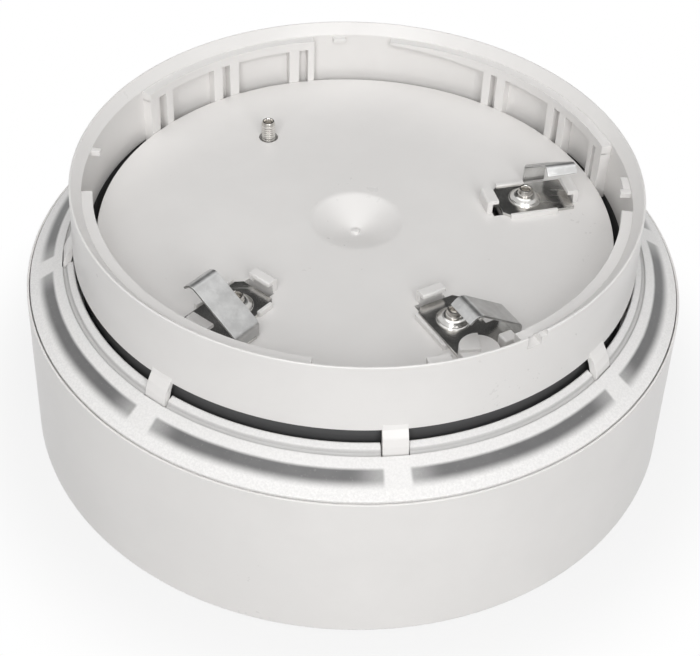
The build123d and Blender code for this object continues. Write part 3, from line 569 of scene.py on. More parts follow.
def stock(kind):
    """A plastic, metal or board from the tables, made once."""
    name = f"finish_{kind}"
    for table, make in ((PLASTICS, moulded), (METALS, metal), (BOARDS, board)):
        if kind in table:
            return bpy.data.materials.get(name) or make(name, *table[kind])
    raise KeyError(kind)


@once
def frosted_lens(name):
    """Frosted lens: the dark lamp windows show through it, blurred, and painted shade darkens its groove."""
    beacon = bpy.context.scene.sounder_beacon
    finish = Finish(name)
    x, y = (finish.node("ShaderNodeSeparateXYZ", None, {"Vector": finish.place()}, axis) for axis in (0, 1))
    radius = (x * x + y * y).math("SQRT") * (1 / MM)
    angle = y.math("ARCTAN2", x) * (180 / math.pi)
    pitch = 360 / beacon.arcs
    turns = ((angle - beacon.break_angle + 360) / pitch).math("FRACT")
    from_break = turns.math("MINIMUM", 1 - turns) * pitch
    wander = finish.noise(95.0, 3.0, 0.6) - 0.5
    edge = radius + wander * 0.25
    window = finish.step(edge, 54.3, 54.85) * finish.step(edge, 55.9, 57.5, 1.0, 0.0)
    reach = from_break + wander * 0.6
    window = window * finish.step(reach, 1.9, 2.6) * (finish.step(reach, 2.0, 8.0) * 0.36 + 0.64)
    inside = finish.noise(160.0, 4.0, 0.65)
    depth = window * (inside * 0.10 + 0.93)
    speckle = finish.noise(2600.0, 2.0, 0.7)
    grit = finish.step(finish.noise(1500.0, 3.0, 0.8), 0.60, 0.72)
    clouds = finish.noise(60.0, 4.0, 0.6)
    # Painted shade: the lens colour is darkened in its groove, between radii 51.75 and 53.05 mm, where shade
    # falls in the recess.
    painted_groove_shade = finish.step(radius, 51.75, 52.15) * finish.step(radius, 52.65, 53.05, 1.0, 0.0)
    inner = finish.step(radius, 57.0, 57.6, 1.0, 0.0)
    base = finish.blend(finish.step(speckle, 0.30, 0.72), shade(beacon.colour, 0.93), shade(beacon.colour,
        1.05))
    base = finish.blend(inner * 0.25, base, shade(beacon.colour, 0.86))
    base = finish.blend(finish.step(clouds, 0.4, 0.7) * 0.15, base, shade(beacon.colour, 0.9))
    # Painted shade in the groove: the lens colour there is mixed towards a darker tone.
    base = finish.blend(painted_groove_shade * 0.8, base, shade(beacon.colour, 0.55))
    base = finish.blend(depth, base, beacon.window)
    base = finish.blend(grit * 0.16, base, shade(beacon.colour, 0.75))
    frost = finish.bump(speckle, 0.012, 0.7)
    gloss = speckle * 0.12 + 0.30
    return finish.surface(Base__Color=base, Roughness=gloss, Normal=frost, IOR=1.55, Coat__Weight=0.12,
                          Coat__Roughness=0.25)


def metal(name, colour, roughness, streaks, smudges, scratches=0.35):
    """Worn bright metal: rolled streaks, smudges and fine scratches."""
    finish = Finish(name)
    rolled = finish.noise(520.0, 4.0, 0.6, finish.stretched((1.0, 0.06, 1.0)))
    cloud = finish.noise(260.0, 5.0, 0.65)
    fine = finish.noise(3200.0, 2.0, 0.6)
    lines = finish.step(finish.noise(900.0, 3.0, 0.8, finish.stretched((0.05, 1.0, 1.0))), 0.60, 0.68)
    tone = finish.blend(finish.step(cloud, 0.35, 0.68), shade(colour, 0.82), shade(colour, 1.08))
    tone = finish.blend(finish.step(rolled, 0.3, 0.7) * streaks, tone, shade(colour, 0.72))
    tone = finish.blend(lines * scratches * 0.5, tone, shade(colour, 1.25))
    gloss = cloud * smudges + rolled * (streaks * 0.2) + lines * 0.08 + (roughness - smudges * 0.5)
    worn = finish.bump(rolled, 0.006, streaks)
    worn = finish.bump(fine, 0.002, 0.3, worn)
    worn = finish.bump(lines, 0.003, scratches, worn)
    return finish.surface(Base__Color=tone, Roughness=gloss, Normal=worn, Metallic=1.0)


@once
def plated_steel(name):
    """Bright plated steel of the contact plates."""
    return metal(name, bpy.context.scene.sounder_metal.plate, 0.20, 0.2, 0.22, 0.5)


@once
def spring_steel(name):
    """Satin spring steel of the blades."""
    return metal(name, bpy.context.scene.sounder_metal.spring, 0.34, 0.24, 0.18, 0.6)


def board(name, mask, track):
    """Circuit board: lacquer over tracks, with plated dots."""
    finish = Finish(name)
    grid = finish.node("ShaderNodeTexBrick", {"offset": 0.37, "squash": 1.0}, {
        "Vector": finish.place(), "Scale": 260.0, "Mortar Size": 0.035, "Mortar Smooth": 0.1,
        "Brick Width": 0.9, "Row Height": 0.33,
    }, "Fac")
    areas = finish.step(finish.noise(60.0, 2.0), 0.48, 0.5)
    tracks = grid * areas
    dots = finish.step(finish.cells(180.0), 0.10, 0.13, 1.0, 0.0)
    base = finish.blend(finish.noise(300.0, 3.0), shade(mask, 0.85), shade(mask, 1.1))
    base = finish.blend(tracks * 0.8, base, track)
    base = finish.blend(dots, base, (0.62, 0.60, 0.55))
    raised = finish.bump(tracks + dots, 0.03, 0.6)
    gloss = finish.noise(200.0, 2.0) * 0.15 + 0.28
    return finish.surface(Base__Color=base, Roughness=gloss, Normal=raised, Metallic=dots * 0.9)


@once
def lamp_chip(name):
    """Lamp: a yellow phosphor window in a pale case."""
    finish = Finish(name)
    grains = finish.noise(1800.0, 3.0)
    base = finish.blend(finish.step(grains, 0.4, 0.6), (0.80, 0.66, 0.12), (0.86, 0.78, 0.36))
    return finish.surface(Base__Color=base, Roughness=grains * 0.2 + 0.25, Normal=finish.bump(grains, 0.01,
        0.5))


# ---------------------------------------------------------------- operators, one for each piece
class Maker:
    """What the operators share."""
    bl_options = {"REGISTER", "UNDO"}

    def execute(self, context):
        self.make(context.scene)
        deselect()
        return {"FINISHED"}


def drum_radius(housing, height):
    """Outside radius of the drum at a height."""
    return housing.foot_radius + (housing.top_radius - housing.foot_radius) * height / housing.height


class SOUNDER_OT_drum(Maker, bpy.types.Operator):
    """Builds the white drum with its deck, posts and snap lugs"""
    bl_idname = "sounder.drum"
    bl_label = "Drum"

    def make(self, scene):
        housing = scene.sounder_housing
        seat, deck_top, deck_under = housing.height - 2.0, 28.5, 26.5
        seat_inner = drum_radius(housing, seat) - housing.wall
        lip = housing.top_radius - 0.4
        edge = housing.edge_round
        shell = turned("drum_shell", rounded([
            (housing.foot_radius - housing.wall, 0, 0.2), (housing.foot_radius, 0, 0.6),
            (housing.top_radius, housing.height, 0.14), (lip, housing.height, 0.1), (lip, seat),
            (seat_inner, seat), (seat_inner, deck_top), (23.1, deck_top, 0.2), (23.1, deck_under, 0.2),
            (drum_radius(housing, deck_under) - housing.wall, deck_under, 0.8),
        ]))
        parts = [shell]
        for angle in (0, 90, 180, 270):
            place = turn_by(angle) @ Vector((39.0, 0, 0))
            post = drum(f"post_{angle}", 2.8, (14.6, deck_under + 0.2), place[:2])
            parts.append(soften(post, edge))
        for angle in (45, 135, 225, 315):
            lug = turned(f"lug_{angle}", [(56.0, 8.0), (58.8, 8.0), (58.8, 10.0), (56.0, 10.0)], angle - 4,
                angle + 4)
            parts.append(soften(lug, edge))
        hand_over(joined("body_shell_finish", parts), HOUSING, ["body_shell"],
            white_plastic())


class SOUNDER_OT_mounting_plate(Maker, bpy.types.Operator):
    """Builds the ceiling plate with its slots, ribs and snap arms"""
    bl_idname = "sounder.mounting_plate"
    bl_label = "Mounting plate"

    def make(self, scene):
        thick, outer, opening = 3.0, cad_radius("mounting_plate"), 18.0
        plate = turned("plate", rounded([
            (opening, 0, 0.3), (outer, 0, 0.3), (outer, thick, 0.5), (opening + 1.6, thick, 0.3),
            (opening + 1.6, thick + 1, 0.3), (opening, thick + 1, 0.3),
        ]))
        slots = []
        for angle, reach in ((0, 30), (180, 30), (90, 42), (270, 42)):
            slot = block("slot", (reach - 2.25, reach + 2.25), (-2.25, 2.25), (-1, thick + 1))
            ends = [drum("end", 2.25, (-1, thick + 1), (reach + side, 0)) for side in (-2.25, 2.25)]
            slots += [move(part, turn_by(angle)) for part in (slot, *ends)]
        cut(plate, slots)
        parts = [soften(plate, 0.2, 2, 50)]
        parts.append(soften(turned("rib", [(50.0, thick - 0.2), (51.4, thick - 0.2), (51.4, thick + 1.5),
                                           (50.0, thick + 1.5)]), 0.2))
        arm = prism("arm", rounded([
            (54.0, thick - 0.2), (55.4, thick - 0.2), (55.4, 10.15, 0.2), (56.7, 10.15, 0.15),
            (56.7, 10.65, 0.15),
            (55.4, 12.2, 0.3), (54.0, 12.2, 0.3),
        ]), 6.8)
        soften(arm, 0.15)
        parts += [copy(arm, f"arm_{angle}", turn_by(angle)) for angle in (135, 225, 315)]
        parts.append(move(arm, turn_by(45)))
        hand_over(joined("mounting_plate_finish", parts), HOUSING, ["mounting_plate"],
                  white_plastic())


class SOUNDER_OT_lens(Maker, bpy.types.Operator):
    """Builds the frosted beacon ring"""
    bl_idname = "sounder.lens"
    bl_label = "Beacon lens"

    def make(self, scene):
        inner, outer, seam, top, seat = 50.69, 58.95, 31.3, 36.3, 29.0
        slope = (top - seam) / (outer - inner)

        def face(radius):
            return top - slope * (radius - inner)

        lens = turned("lens", rounded([
            (inner, top, 0.25), (51.98, face(51.98), 0.08), (52.16, face(52.16) - 0.42, 0.1),
            (52.62, face(52.62) - 0.42, 0.1), (52.8, face(52.8), 0.08),
            (outer, seam, 0.22), (outer, seat, 0.1), (57.1, seat, 0.1), (57.1, face(57.1) - 2.0, 0.4),
            (inner, top - 2.0, 0.2),
        ]))
        beacon = scene.sounder_beacon
        half = scene.sounder_socket.tab_width / 2 + 0.2
        notches = []
        for index in range(beacon.arcs):
            notch = block("notch", (inner - 2, 52.85), (-half, half), (seat, top + 1))
            notches.append(move(notch, turn_by(beacon.break_angle + 360 / beacon.arcs * index)))
        cut(lens, notches)
        hand_over(soften(lens, 0.1, 2, 50), HOUSING, ["lens_ring"], frosted_lens())
        lens.name = "lens_ring_finish"


class SOUNDER_OT_beacon_inside(Maker, bpy.types.Operator):
    """Finishes the lamp board, the lamps and the reflector behind the lens"""
    bl_idname = "sounder.beacon_inside"
    bl_label = "Beacon inside"

    def make(self, scene):
        dress(["led_board"], stock("black_board"))
        dress(["leds"], lamp_chip())
        dress(["reflector_ring"], stock("matt_white"))
        dress(["led_lead"], stock("red_sleeve"))


class SOUNDER_OT_baffle(Maker, bpy.types.Operator):
    """Builds the black slotted ring that the sound leaves through"""
    bl_idname = "sounder.baffle"
    bl_label = "Sound outlet"

    def make(self, scene):
        low, high = (corner.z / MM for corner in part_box("baffle_ring"))
        outer = cad_radius("baffle_ring")
        inner = outer - 1.19
        parts = [turned("lower", rounded([(inner, low, 0.2), (outer, low, 0.2), (outer, low + 3, 0.2),
                                          (inner, low + 3, 0.2)]))]
        parts.append(turned("upper",
            [(inner, high - 4.5), (outer, high - 4.5), (outer, high), (inner, high)]))
        bars = 32
        for index in range(bars):
            start = 360 / bars * index + 7.5
            bar = turned(f"bar_{index}", [(inner, low + 2.9), (outer, low + 2.9), (outer, high - 4.4),
                                          (inner, high - 4.4)], start, start + 3.75, 3)
            parts.append(bar)
        hand_over(joined("baffle_ring_finish", parts), HOUSING, ["baffle_ring"],
            stock("black_plastic"))


class SOUNDER_OT_socket_wall(Maker, bpy.types.Operator):
    """Builds the socket's wall with its funnel mouth, the rim notch and the tabs over the lens"""
    bl_idname = "sounder.socket_wall"
    bl_label = "Socket wall"

    def make(self, scene):
        socket = scene.sounder_socket
        foot, top, bore = 38.53, socket.top, socket.bore
        wall = turned("wall", rounded([
            (bore, foot, 0.3), (50.69, foot, 0.22), (50.2, top, 0.22), (49.84, top, 0.12),
            (bore, top - 1.9, 0.5),
        ]))
        soften(wall, 0.08, 2, 50)
        notch = move(block("notch", (bore - 2, 52.5), (-1.4, 1.4), (top - 2.1, top + 1)), turn_by(-55.4))
        step = move(block("step", (bore - 2, 52.5), (-0.9, 0.62), (top - 0.9, top + 1)), turn_by(-53.3))
        parts = [cut(wall, [notch, step])]
        tab = prism("tab", rounded([
            (50.0, foot + 1.7), (50.45, foot + 1.55, 0.4), (50.95, foot + 0.45, 1.6),
            (51.85, foot - 0.9, 2.5),
            (52.45, foot - 2.3, 1.5), (52.65, foot - 3.4, 1.0), (52.65, foot - 5.1, 0.15), (51.3, foot - 5.1),
            (51.25, foot - 2.9, 1.2), (50.7, foot - 1.2, 1.5), (50.0, foot + 0.3),
        ]), socket.tab_width)
        soften(tab, 0.1, 2, 50)
        beacon = scene.sounder_beacon
        for index in range(beacon.arcs):
            parts.append(copy(tab, f"tab_{index}", turn_by(beacon.break_angle + 360 / beacon.arcs * index)))
        bpy.data.objects.remove(tab)
        hand_over(joined("socket_wall", parts), HOUSING, ["socket_base"], white_plastic())


LEDGE_ARCS = [(16.5, 83.5), (102.2, 149.0), (188.0, 262.8), (284.6, 289.3), (303.6, 353.1)]
RAIL_TAPER = (61.5, 83.5)
RIB_ARCS = [
    (102.2, 103.8), (106.0, 108.5), (121.8, 124.3), (126.3, 128.8), (141.5, 143.6), (146.2, 149.0),
    (16.5, 19.6), (20.9, 22.5), (33.0, 35.2), (37.2, 39.4), (52.9, 55.2), (56.9, 59.0),
    (206.0, 208.2), (210.2, 212.4), (254.0, 256.2), (258.2, 260.4), (286.0, 288.2),
    (325.0, 327.2), (329.2, 331.4),
]
WALL_STOPS = [  # start, end, how far in from the bore, drop of its top from the ledge, height
    (94.3, 97.4, 1.1, 0.2, 0.9), (266.6, 268.6, 0.9, 0.2, 0.9), (275.4, 277.6, 0.9, 0.2, 0.9),
    (172.4, 174.0, 1.6, 0.0, 1.0), (-0.8, 0.7, 1.9, 0.0, 1.1), (0.7, 5.0, 1.3, 0.0, 1.9),
]


class SOUNDER_OT_socket_ledges(Maker, bpy.types.Operator):
    """Builds the ledges, the ribs that carry them and the small stops"""
    bl_idname = "sounder.socket_ledges"
    bl_label = "Ledges and ribs"

    def make(self, scene):
        socket = scene.sounder_socket
        top = socket.top - 2.1
        under = top - 1.9
        outer = socket.bore + 0.2
        floor_under = socket.top - socket.floor_depth - 2.8
        parts = []
        for start, end in LEDGE_ARCS:
            section = [(socket.ledge_bore, under), (outer, under), (outer, top), (socket.ledge_bore, top)]
            ledge = turned(f"ledge_{start}", section, start, end)
            soften(ledge, 0.1)
            if end == RAIL_TAPER[1]:
                warp(ledge, lambda p: self.taper(p, under))
            parts.append(ledge)
        for start, end in RIB_ARCS:
            section = [(socket.ledge_bore, floor_under), (outer, floor_under), (outer, under + 0.4),
                       (socket.ledge_bore, under + 0.4)]
            parts.append(soften(turned(f"rib_{start}", section, start, end), 0.1))
        for start, end, inset, drop, height in WALL_STOPS:
            high = top - drop
            section = [(socket.bore - inset, high - height), (outer, high - height), (outer, high),
                       (socket.bore - inset, high)]
            parts.append(soften(turned(f"stop_{start}", section, start, end), 0.15))
        hand_over(joined("socket_ledges", parts), HOUSING, ["socket_base"], white_plastic())

    @staticmethod
    def taper(p, under):
        """Thins the first ledge from below towards its lead-in end."""
        start, end = RAIL_TAPER
        share = (math.degrees(math.atan2(p.y, p.x)) - start) / (end - start)
        if share > 0 and p.z < under + 0.5:
            p.z += 1.35 * share
        return p


def at_contact(name, scene, shift=(0, 0)):
    """Where a contact's own frame lies: x outwards, y across, z up from the floor."""
    socket = scene.sounder_socket
    height = socket.top - socket.floor_depth
    place = Vector((CONTACT_RADIUS + shift[0], shift[1], height)) * MM
    return turn_by(CONTACT_ANGLES[name]) @ Matrix.Translation(place)


def hook(name, inner, outer, wall, half, height=2.6):
    """A hook with a lip over the plate's edge; inner is the lip's end and outer is the wall's back."""
    side = 1 if outer > inner else -1
    face = outer - side * wall
    piece = prism(name, rounded([
        (outer, -0.2), (outer, height, 0.55), (inner, height, 0.3), (inner, height - 0.85, 0.15),
        (face, height - 0.85, 0.15), (face, -0.2),
    ]), 2 * half)
    return soften(piece, 0.15, 2, 50)


class SOUNDER_OT_socket_floor(Maker, bpy.types.Operator):
    """Builds the socket's floor with its dimple, openings, hooks, strips and posts"""
    bl_idname = "sounder.socket_floor"
    bl_label = "Socket floor"

    def make(self, scene):
        socket = scene.sounder_socket
        top = socket.top - socket.floor_depth
        under = top - 2.8
        floor = turned("floor", rounded([
            (0, under - 1.4), (2.4, under - 1.4, 1.0), (7.9, under, 1.0), (46.35, under, 0.3),
            (46.35, top, 0.25),
            (8.1, top, 3.0), (3.1, top - 2.05, 2.4), (1.3, top - 2.8, 0.8), (0.75, top - 2.8, 0.1),
            (0.68, top - 2.4, 0.25), (0, top - 2.3),
        ]))
        tools = []
        for name in CONTACT_ANGLES:
            frame_here = at_contact(name, scene, SEAT_SHIFTS[name])
            for shape in self.openings(name):
                tools.append(move(shape, frame_here))
        spare = turn_by(SPARE_ANGLE) @ Vector((SPARE_RADIUS, 0, 0))
        tools.append(drum("spare_hole", 1.85, (under - 1, top + 1), spare[:2]))
        cut(floor, tools)
        parts = [floor]
        for name in CONTACT_ANGLES:
            here = at_contact(name, scene, SEAT_SHIFTS[name])
            parts += [move(part, here) for part in self.seat(name)]
        for index in range(4):
            place = turn_by(22.5 + 90 * index) @ Vector((41.0, 0, 0))
            parts.append(drum(f"post_{index}", 3.0, (28.5, under + 0.3), place[:2]))
        hand_over(joined("socket_floor", parts), HOUSING, ["socket_base"], white_plastic())

    @staticmethod
    def openings(name):
        """The tools that cut one contact's screw hole and the openings under its hooks' lips."""
        tools = [drum("hole", 2.6, (-4, 1)), block("core", (-6.9, -4.4), (-3.3, 2.6), (-4, 1))]
        if name != "b":
            tools.append(block("core_out", (6.6, 8.6), (-2.6, 2.6), (-4, 1)))
        return tools

    @staticmethod
    def seat(name):
        """Hooks and strips round one contact's plate."""
        parts = [hook(f"hook_in_{name}", -5.8, -8.0, 1.1, 2.3)]
        strips = [((-4.2, 4.8), (-4.95, -4.3))]
        strips.append(((-4.1, {"a": -0.8, "b": 1.85, "c": 1.3}[name]), (4.2, 4.95)))
        if name == "b":
            strips.append(((6.0, 7.1), (-8.5, -4.9)))
            cube = block("cube", (8.95, 11.25), (2.45, 5.05), (-0.2, 4.05))
            parts.append(soften(cube, 0.4, 3))
        else:
            parts.append(hook(f"hook_out_{name}", 7.4, 9.6, 1.0, 2.3))
        for index, (xs, ys) in enumerate(strips):
            parts.append(soften(block(f"strip_{name}_{index}", xs, ys, (-0.5, 1.0)), 0.15))
        return parts


class SOUNDER_OT_lock_plug(Maker, bpy.types.Operator):
    """Builds the round plug beside contact b"""
    bl_idname = "sounder.lock_plug"
    bl_label = "Lock plug"

    def make(self, scene):
        plug = turned("plug", rounded([
            (0, -2.4), (1.1, -2.4, 0.2), (1.1, 0), (3.4, 0, 0.1), (3.4, 4.0, 0.3), (0, 4.0),
        ]), steps=72)
        lower = [block("right", (0.1, 5), (-5, 5), (3.4, 5)), block("front", (-5, 0.2), (-5, -0.7), (3.4, 5))]
        cut(plug, [move(tool, turn_by(64.0)) for tool in lower])
        soften(plug, 0.1, 2, 45)
        move(plug, at_contact("b", scene, (10.1, -1.8)))
        plug.name = "lock_plug_finish"
        hand_over(plug, HOUSING, ["lock_plug"], white_plastic())


class SOUNDER_OT_contact_plates(Maker, bpy.types.Operator):
    """Builds the contact plates that lie on the socket's floor"""
    bl_idname = "sounder.contact_plates"
    bl_label = "Contact plates"

    def make(self, scene):
        for name, shift in SCREW_SHIFTS.items():
            plate = self.plate(name)
            move(plate, at_contact(name, scene, shift))
            hand_over(plate, HOUSING, [f"contact_plate_{name}"], plated_steel())

    @staticmethod
    def plate(name):
        """One plate in the contact's own frame."""
        low = 0.02
        plate = block("flat", (-5.3, 8.2), (-4.3, 4.3), (low, PLATE_TOP))
        edit(plate)
        pick(plate, lambda p: p.x < -5 and abs(p.y) > 4.2, "EDGE")
        bpy.ops.mesh.bevel(offset=1.1 * MM, segments=1, affect="EDGES")
        done()
        if name != "c":
            combine(plate, [block("root", (3.3, 7.9), (4.0, 7.85), (low, PLATE_TOP))], "UNION")
        cut(plate, [drum("hole", 1.55, (-3, 1))])
        plate.name = f"contact_plate_{name}_finish"
        return soften(plate, 0.1, 2, 50)


# Side view of each blade, as (across, up, bend radius), and its (inner, outer) edges at the bend and the tip.
BLADES = {
    "a": ([(7.75, 0.3), (7.8, 2.95, 1.1), (-1.45, 9.35, 1.3), (-2.95, 8.0)], (2.65, 8.3)),
    "b": ([(7.75, 0.3), (7.8, 2.95, 1.1), (-1.45, 9.35, 1.5), (-3.05, 7.9)], (2.65, 8.3)),
    "c": ([(4.55, 0.3), (4.6, 3.8, 1.1), (-1.35, 7.8, 1.3), (-2.8, 6.4)], (1.45, 5.6)),
}
BLADE_TIP = (3.05, 8.71)


class SOUNDER_OT_contact_blades(Maker, bpy.types.Operator):
    """Builds the spring blades, which bend at their roots"""
    bl_idname = "sounder.contact_blades"
    bl_label = "Contact blades"

    def make(self, scene):
        thick = scene.sounder_metal.leaf
        for name in CONTACT_ANGLES:
            side, root_edges = BLADES[name]
            path = rounded(side)
            blade = outline(f"contact_blade_{name}_finish", [(0, across, up) for across, up in path],
                closed=False)
            bpy.ops.mesh.extrude_region_move(TRANSFORM_OT_translate={"value": (MM, 0, 0)})
            done()
            bend_across, tip_across = side[-3][0], side[-2][0]

            def widen(p, edges=root_edges, start=bend_across, end=tip_across):
                share = min(1.0, max(0.0, (p.y - start) / (end - start)))
                inner = edges[0] + (BLADE_TIP[0] - edges[0]) * share
                outer = edges[1] + (BLADE_TIP[1] - edges[1]) * share
                return Vector((outer if p.x > 0.5 else inner, p.y, p.z))

            warp(blade, widen)
            modify(blade, "SOLIDIFY", thickness=thick * MM, offset=0.0, use_even_offset=True)
            soften(blade, 0.09, 2, 60)
            here = at_contact(name, scene)
            move(blade, here)
            smooth(blade, 40)
            blade.data.materials.clear()
            blade.data.materials.append(spring_steel())
            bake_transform(blade)
            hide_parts(f"contact_blade_{name}")


def screw_profile(height, thread_low, radius=1.28, pitch=0.5, depth=0.17):
    """Outline of a cupped, threaded screw end above a start height."""
    points = [(0, thread_low), (radius, thread_low)]
    turns = int((height - 0.35 - thread_low) / pitch)
    for turn in range(turns):
        base = thread_low + turn * pitch
        points += [(radius, base + pitch * 0.35), (radius - depth, base + pitch * 0.6), (radius,
            base + pitch * 0.9)]
    points += [(radius - 0.05, height - 0.35), (radius - 0.2, height), (0.9, height), (0.82, height - 0.12)]
    return points + [(0.74, height - 1.2), (0, height - 1.35)]


class SOUNDER_OT_terminal_screws(Maker, bpy.types.Operator):
    """Builds the domed collars, the terminal screws and the spare screw"""
    bl_idname = "sounder.terminal_screws"
    bl_label = "Terminal screws"

    def make(self, scene):
        low = PLATE_TOP
        collar = turned("collar", rounded([
            (1.42, low), (2.95, low), (2.95, low + 0.16, 0.1), (2.7, low + 0.22, 0.06),
            (2.58, low + 0.42, 0.2),
            (2.1, low + 0.85, 0.5), (1.75, low + 1.0, 0.3), (1.42, low + 1.05, 0.04),
        ]), steps=64)
        stub = turned("stub", screw_profile(low + 2.25, -2.8, 1.4), steps=48)
        shank = self.head("head", -2.8)
        frames = [at_contact(name, scene, shift) for name, shift in SCREW_SHIFTS.items()]
        collars = [copy(collar, "collar_here", here) for here in frames]
        screws = [copy(part, "screw_here", here) for here in frames for part in (stub, shank)]
        spare_at = turn_by(SPARE_ANGLE) @ Matrix.Translation((SPARE_RADIUS * MM, 0, frames[0].translation.z))
        spare = [move(turned("spare", screw_profile(3.7, -2.8), steps=48), spare_at),
                 copy(shank, "spare_head", spare_at)]
        for part in (collar, stub, shank):
            bpy.data.objects.remove(part)
        hand_over(joined("terminal_collars_finish", collars), HOUSING, ["terminal_collars"],
                  plated_steel())
        hand_over(joined("terminal_screws_finish", screws), HOUSING, ["terminal_screws"],
                  stock("screw_steel"))
        hand_over(joined("spare_screw_finish", spare), HOUSING, ["spare_screw"],
            stock("screw_steel"))

    @staticmethod
    def head(name, seat):
        """Pan head with a cross recess below the clamp."""
        low = seat - 1.0
        piece = turned(name, rounded([
            (0, low - 2.0), (2.75, low - 2.0, 0.8), (2.75, low, 0.1), (1.45, low), (1.45, seat + 0.1),
            (0, seat + 0.1),
        ]), steps=48)
        for turn in (0, 90):
            arm = move(block("arm", (-1.5, 1.5), (-0.38, 0.38), (low - 3, low - 0.9)), turn_by(turn))
            cut(piece, [arm])
        return soften(piece, 0.06, 2, 50)


class SOUNDER_OT_electronics(Maker, bpy.types.Operator):
    """Finishes the board, its parts and the sounder under the deck"""
    bl_idname = "sounder.electronics"
    bl_label = "Inside"

    def make(self, scene):
        dress(["main_board"], stock("green_board"))
        dress(["controller_chip", "sounder_cup", "sounder_cap", "piezo_clamp"], stock("black_plastic"))
        dress(["capacitors"], stock("can_aluminium"))
        dress(["boost_coil", "contact_leads"], stock("copper"))
        dress(["piezo_leads"], stock("red_sleeve"))
        dress(["piezo_disc"], stock("brass"))
        dress(["piezo_ceramic"], stock("ceramic"))
        dress(["terminal_block"], stock("green_plastic"))
        dress(["dip_body", "trimmer_body"], stock("blue_plastic"))
        levers = [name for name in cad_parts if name.startswith("dip_slider")]
        dress([*levers, "trimmer_rotor"], stock("matt_white"))
        dress(["wire_clamps"], plated_steel())
        dress(["block_screws", "board_screws", "socket_screws", "sounder_screws"], stock("screw_steel"))


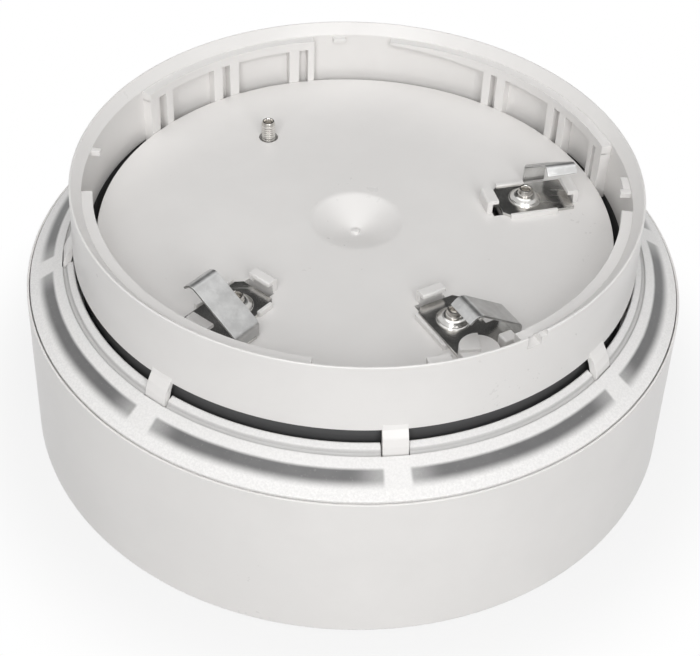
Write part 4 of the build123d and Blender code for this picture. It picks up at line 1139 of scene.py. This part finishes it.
class SOUNDER_OT_stage(Maker, bpy.types.Operator):
    """Sets the floor, the soft light and the camera"""
    bl_idname = "sounder.stage"
    bl_label = "Stage"

    def make(self, scene):
        self.camera(scene)
        self.floor()
        self.lamps(scene)
        self.world(scene)
        scene.view_settings.view_transform = "Standard"

    @staticmethod
    def camera(scene):
        """Camera at the viewing angle, turned about its own axis by the roll."""
        stage = scene.sounder_stage
        pan, tilt, roll = (math.radians(value) for value in (-stage.pan, stage.tilt, stage.roll))
        ahead = Vector((math.sin(pan) * math.cos(tilt), math.cos(pan) * math.cos(tilt), -math.sin(tilt)))
        right = Vector((math.cos(pan), -math.sin(pan), 0))
        up = right.cross(ahead)
        across = right * math.cos(roll) + up * math.sin(roll)
        over = up * math.cos(roll) - right * math.sin(roll)
        bpy.ops.object.camera_add(location=(0, -0.20934, 0.20455))
        camera = bpy.context.object
        camera.rotation_euler = Matrix((across, over, -ahead)).transposed().to_euler()
        camera.data.lens = stage.lens
        camera.data.sensor_width = 36.0
        camera.data.clip_start = 0.01
        scene.camera = camera

    @staticmethod
    def floor():
        """Pale floor that keeps the object's shadow and shows white elsewhere."""
        deselect()
        bpy.ops.mesh.primitive_circle_add(vertices=96, radius=3.0, fill_type="NGON", location=(0, 0, -0.0002))
        plane = named("floor")
        finish = Finish("pale_floor")
        diffuse = finish.node("ShaderNodeBsdfDiffuse", None, {"Color": (0.50, 0.497, 0.494, 1)})
        white = finish.node("ShaderNodeEmission", None, {"Color": (1, 1, 1, 1), "Strength": 1.0})
        distance = finish.node("ShaderNodeVectorMath", {"operation": "LENGTH"}, {0: finish.place()}, "Value")
        far = finish.step(distance, 0.062, 0.085, 0.84, 1.0)
        shader = finish.node("ShaderNodeMixShader", None, {0: finish.seen() * far, 1: diffuse, 2: white})
        finish.node("ShaderNodeOutputMaterial", None, {"Surface": shader})
        plane.data.materials.append(finish.material)

    @staticmethod
    def lamps(scene):
        """Two tall soft lamps in front, which leave soft upright highlights, and one above."""
        stage = scene.sounder_stage
        lamps = [
            ("key", (-0.22, -0.80, 0.62), (0.30, 0.70), 0.88),
            ("fill", (0.30, -0.78, 0.56), (0.30, 0.70), 0.92),
            ("top", (0.0, 0.10, 1.0), (0.9, 0.9), 0.74),
        ]
        for name, place, size, share in lamps:
            deselect()
            bpy.ops.object.light_add(type="AREA", location=place)
            lamp = bpy.context.object
            lamp.name = name
            lamp.data.shape = "RECTANGLE"
            lamp.data.size, lamp.data.size_y = size
            lamp.data.energy = stage.key * share
            aim = Vector((0, 0, 0.03)) - Vector(place)
            lamp.rotation_euler = aim.to_track_quat("-Z", "Y").to_euler()

    @staticmethod
    def world(scene):
        """Even light; the camera, glossy and see-through rays get a white room with one dim patch behind."""
        world = bpy.data.worlds.new("studio")
        scene.world = world
        world.use_nodes = True
        studio = Finish("studio_light")
        studio.tree = world.node_tree
        studio.tree.nodes.clear()
        even = studio.node("ShaderNodeBackground", None, {"Strength": scene.sounder_stage.world})
        tilt = math.radians(scene.sounder_stage.tilt + 4)
        towards = studio.node("ShaderNodeVectorMath", {"operation": "DOT_PRODUCT"},
                              {0: studio.node("ShaderNodeTexCoord"), 1: (0, math.cos(tilt),
                                  math.sin(tilt))}, "Value")
        room = studio.blend(studio.step(towards, 0.80, 0.92), (0.92, 0.92, 0.92), (0.055, 0.055, 0.055))
        seen = studio.node("ShaderNodeBackground", None, {"Color": room, "Strength": 1.0})
        shader = studio.node("ShaderNodeMixShader", None, {0: studio.seen(), 1: even, 2: seen})
        studio.node("ShaderNodeOutputWorld", None, {"Surface": shader})


OPERATORS = [
    SOUNDER_OT_drum, SOUNDER_OT_mounting_plate, SOUNDER_OT_lens, SOUNDER_OT_beacon_inside, SOUNDER_OT_baffle,
    SOUNDER_OT_socket_wall, SOUNDER_OT_socket_ledges, SOUNDER_OT_socket_floor, SOUNDER_OT_lock_plug,
    SOUNDER_OT_contact_plates, SOUNDER_OT_contact_blades, SOUNDER_OT_terminal_screws, SOUNDER_OT_electronics,
    SOUNDER_OT_stage,
]
SETTINGS = {
    "sounder_housing": HousingSettings, "sounder_socket": SocketSettings, "sounder_beacon": BeaconSettings,
    "sounder_metal": MetalSettings, "sounder_stage": StageSettings,
}


class SOUNDER_PT_pieces(bpy.types.Panel):
    """Panel that lists the pieces and their settings"""
    bl_idname = "SOUNDER_PT_pieces"
    bl_label = "Detector base sounder-beacon"
    bl_space_type = "VIEW_3D"
    bl_region_type = "UI"
    bl_category = "Sounder"

    def draw(self, context):
        for name, group in SETTINGS.items():
            box = self.layout.box()
            box.label(text=group.__doc__)
            for field in group.__annotations__:
                box.prop(getattr(context.scene, name), field)
        for operator in OPERATORS:
            self.layout.operator(operator.bl_idname)


def register():
    for group in SETTINGS.values():
        bpy.utils.register_class(group)
    for name, group in SETTINGS.items():
        setattr(bpy.types.Scene, name, PointerProperty(type=group))
    for operator in OPERATORS:
        bpy.utils.register_class(operator)
    bpy.utils.register_class(SOUNDER_PT_pieces)


def unregister():
    bpy.utils.unregister_class(SOUNDER_PT_pieces)
    for operator in reversed(OPERATORS):
        bpy.utils.unregister_class(operator)
    for name, group in SETTINGS.items():
        delattr(bpy.types.Scene, name)
        bpy.utils.unregister_class(group)


def main():
    """Builds every piece and the stage."""
    register()
    for operator in OPERATORS:
        group, name = operator.bl_idname.split(".")
        getattr(getattr(bpy.ops, group), name)()


if __name__ == "__main__":
    main()
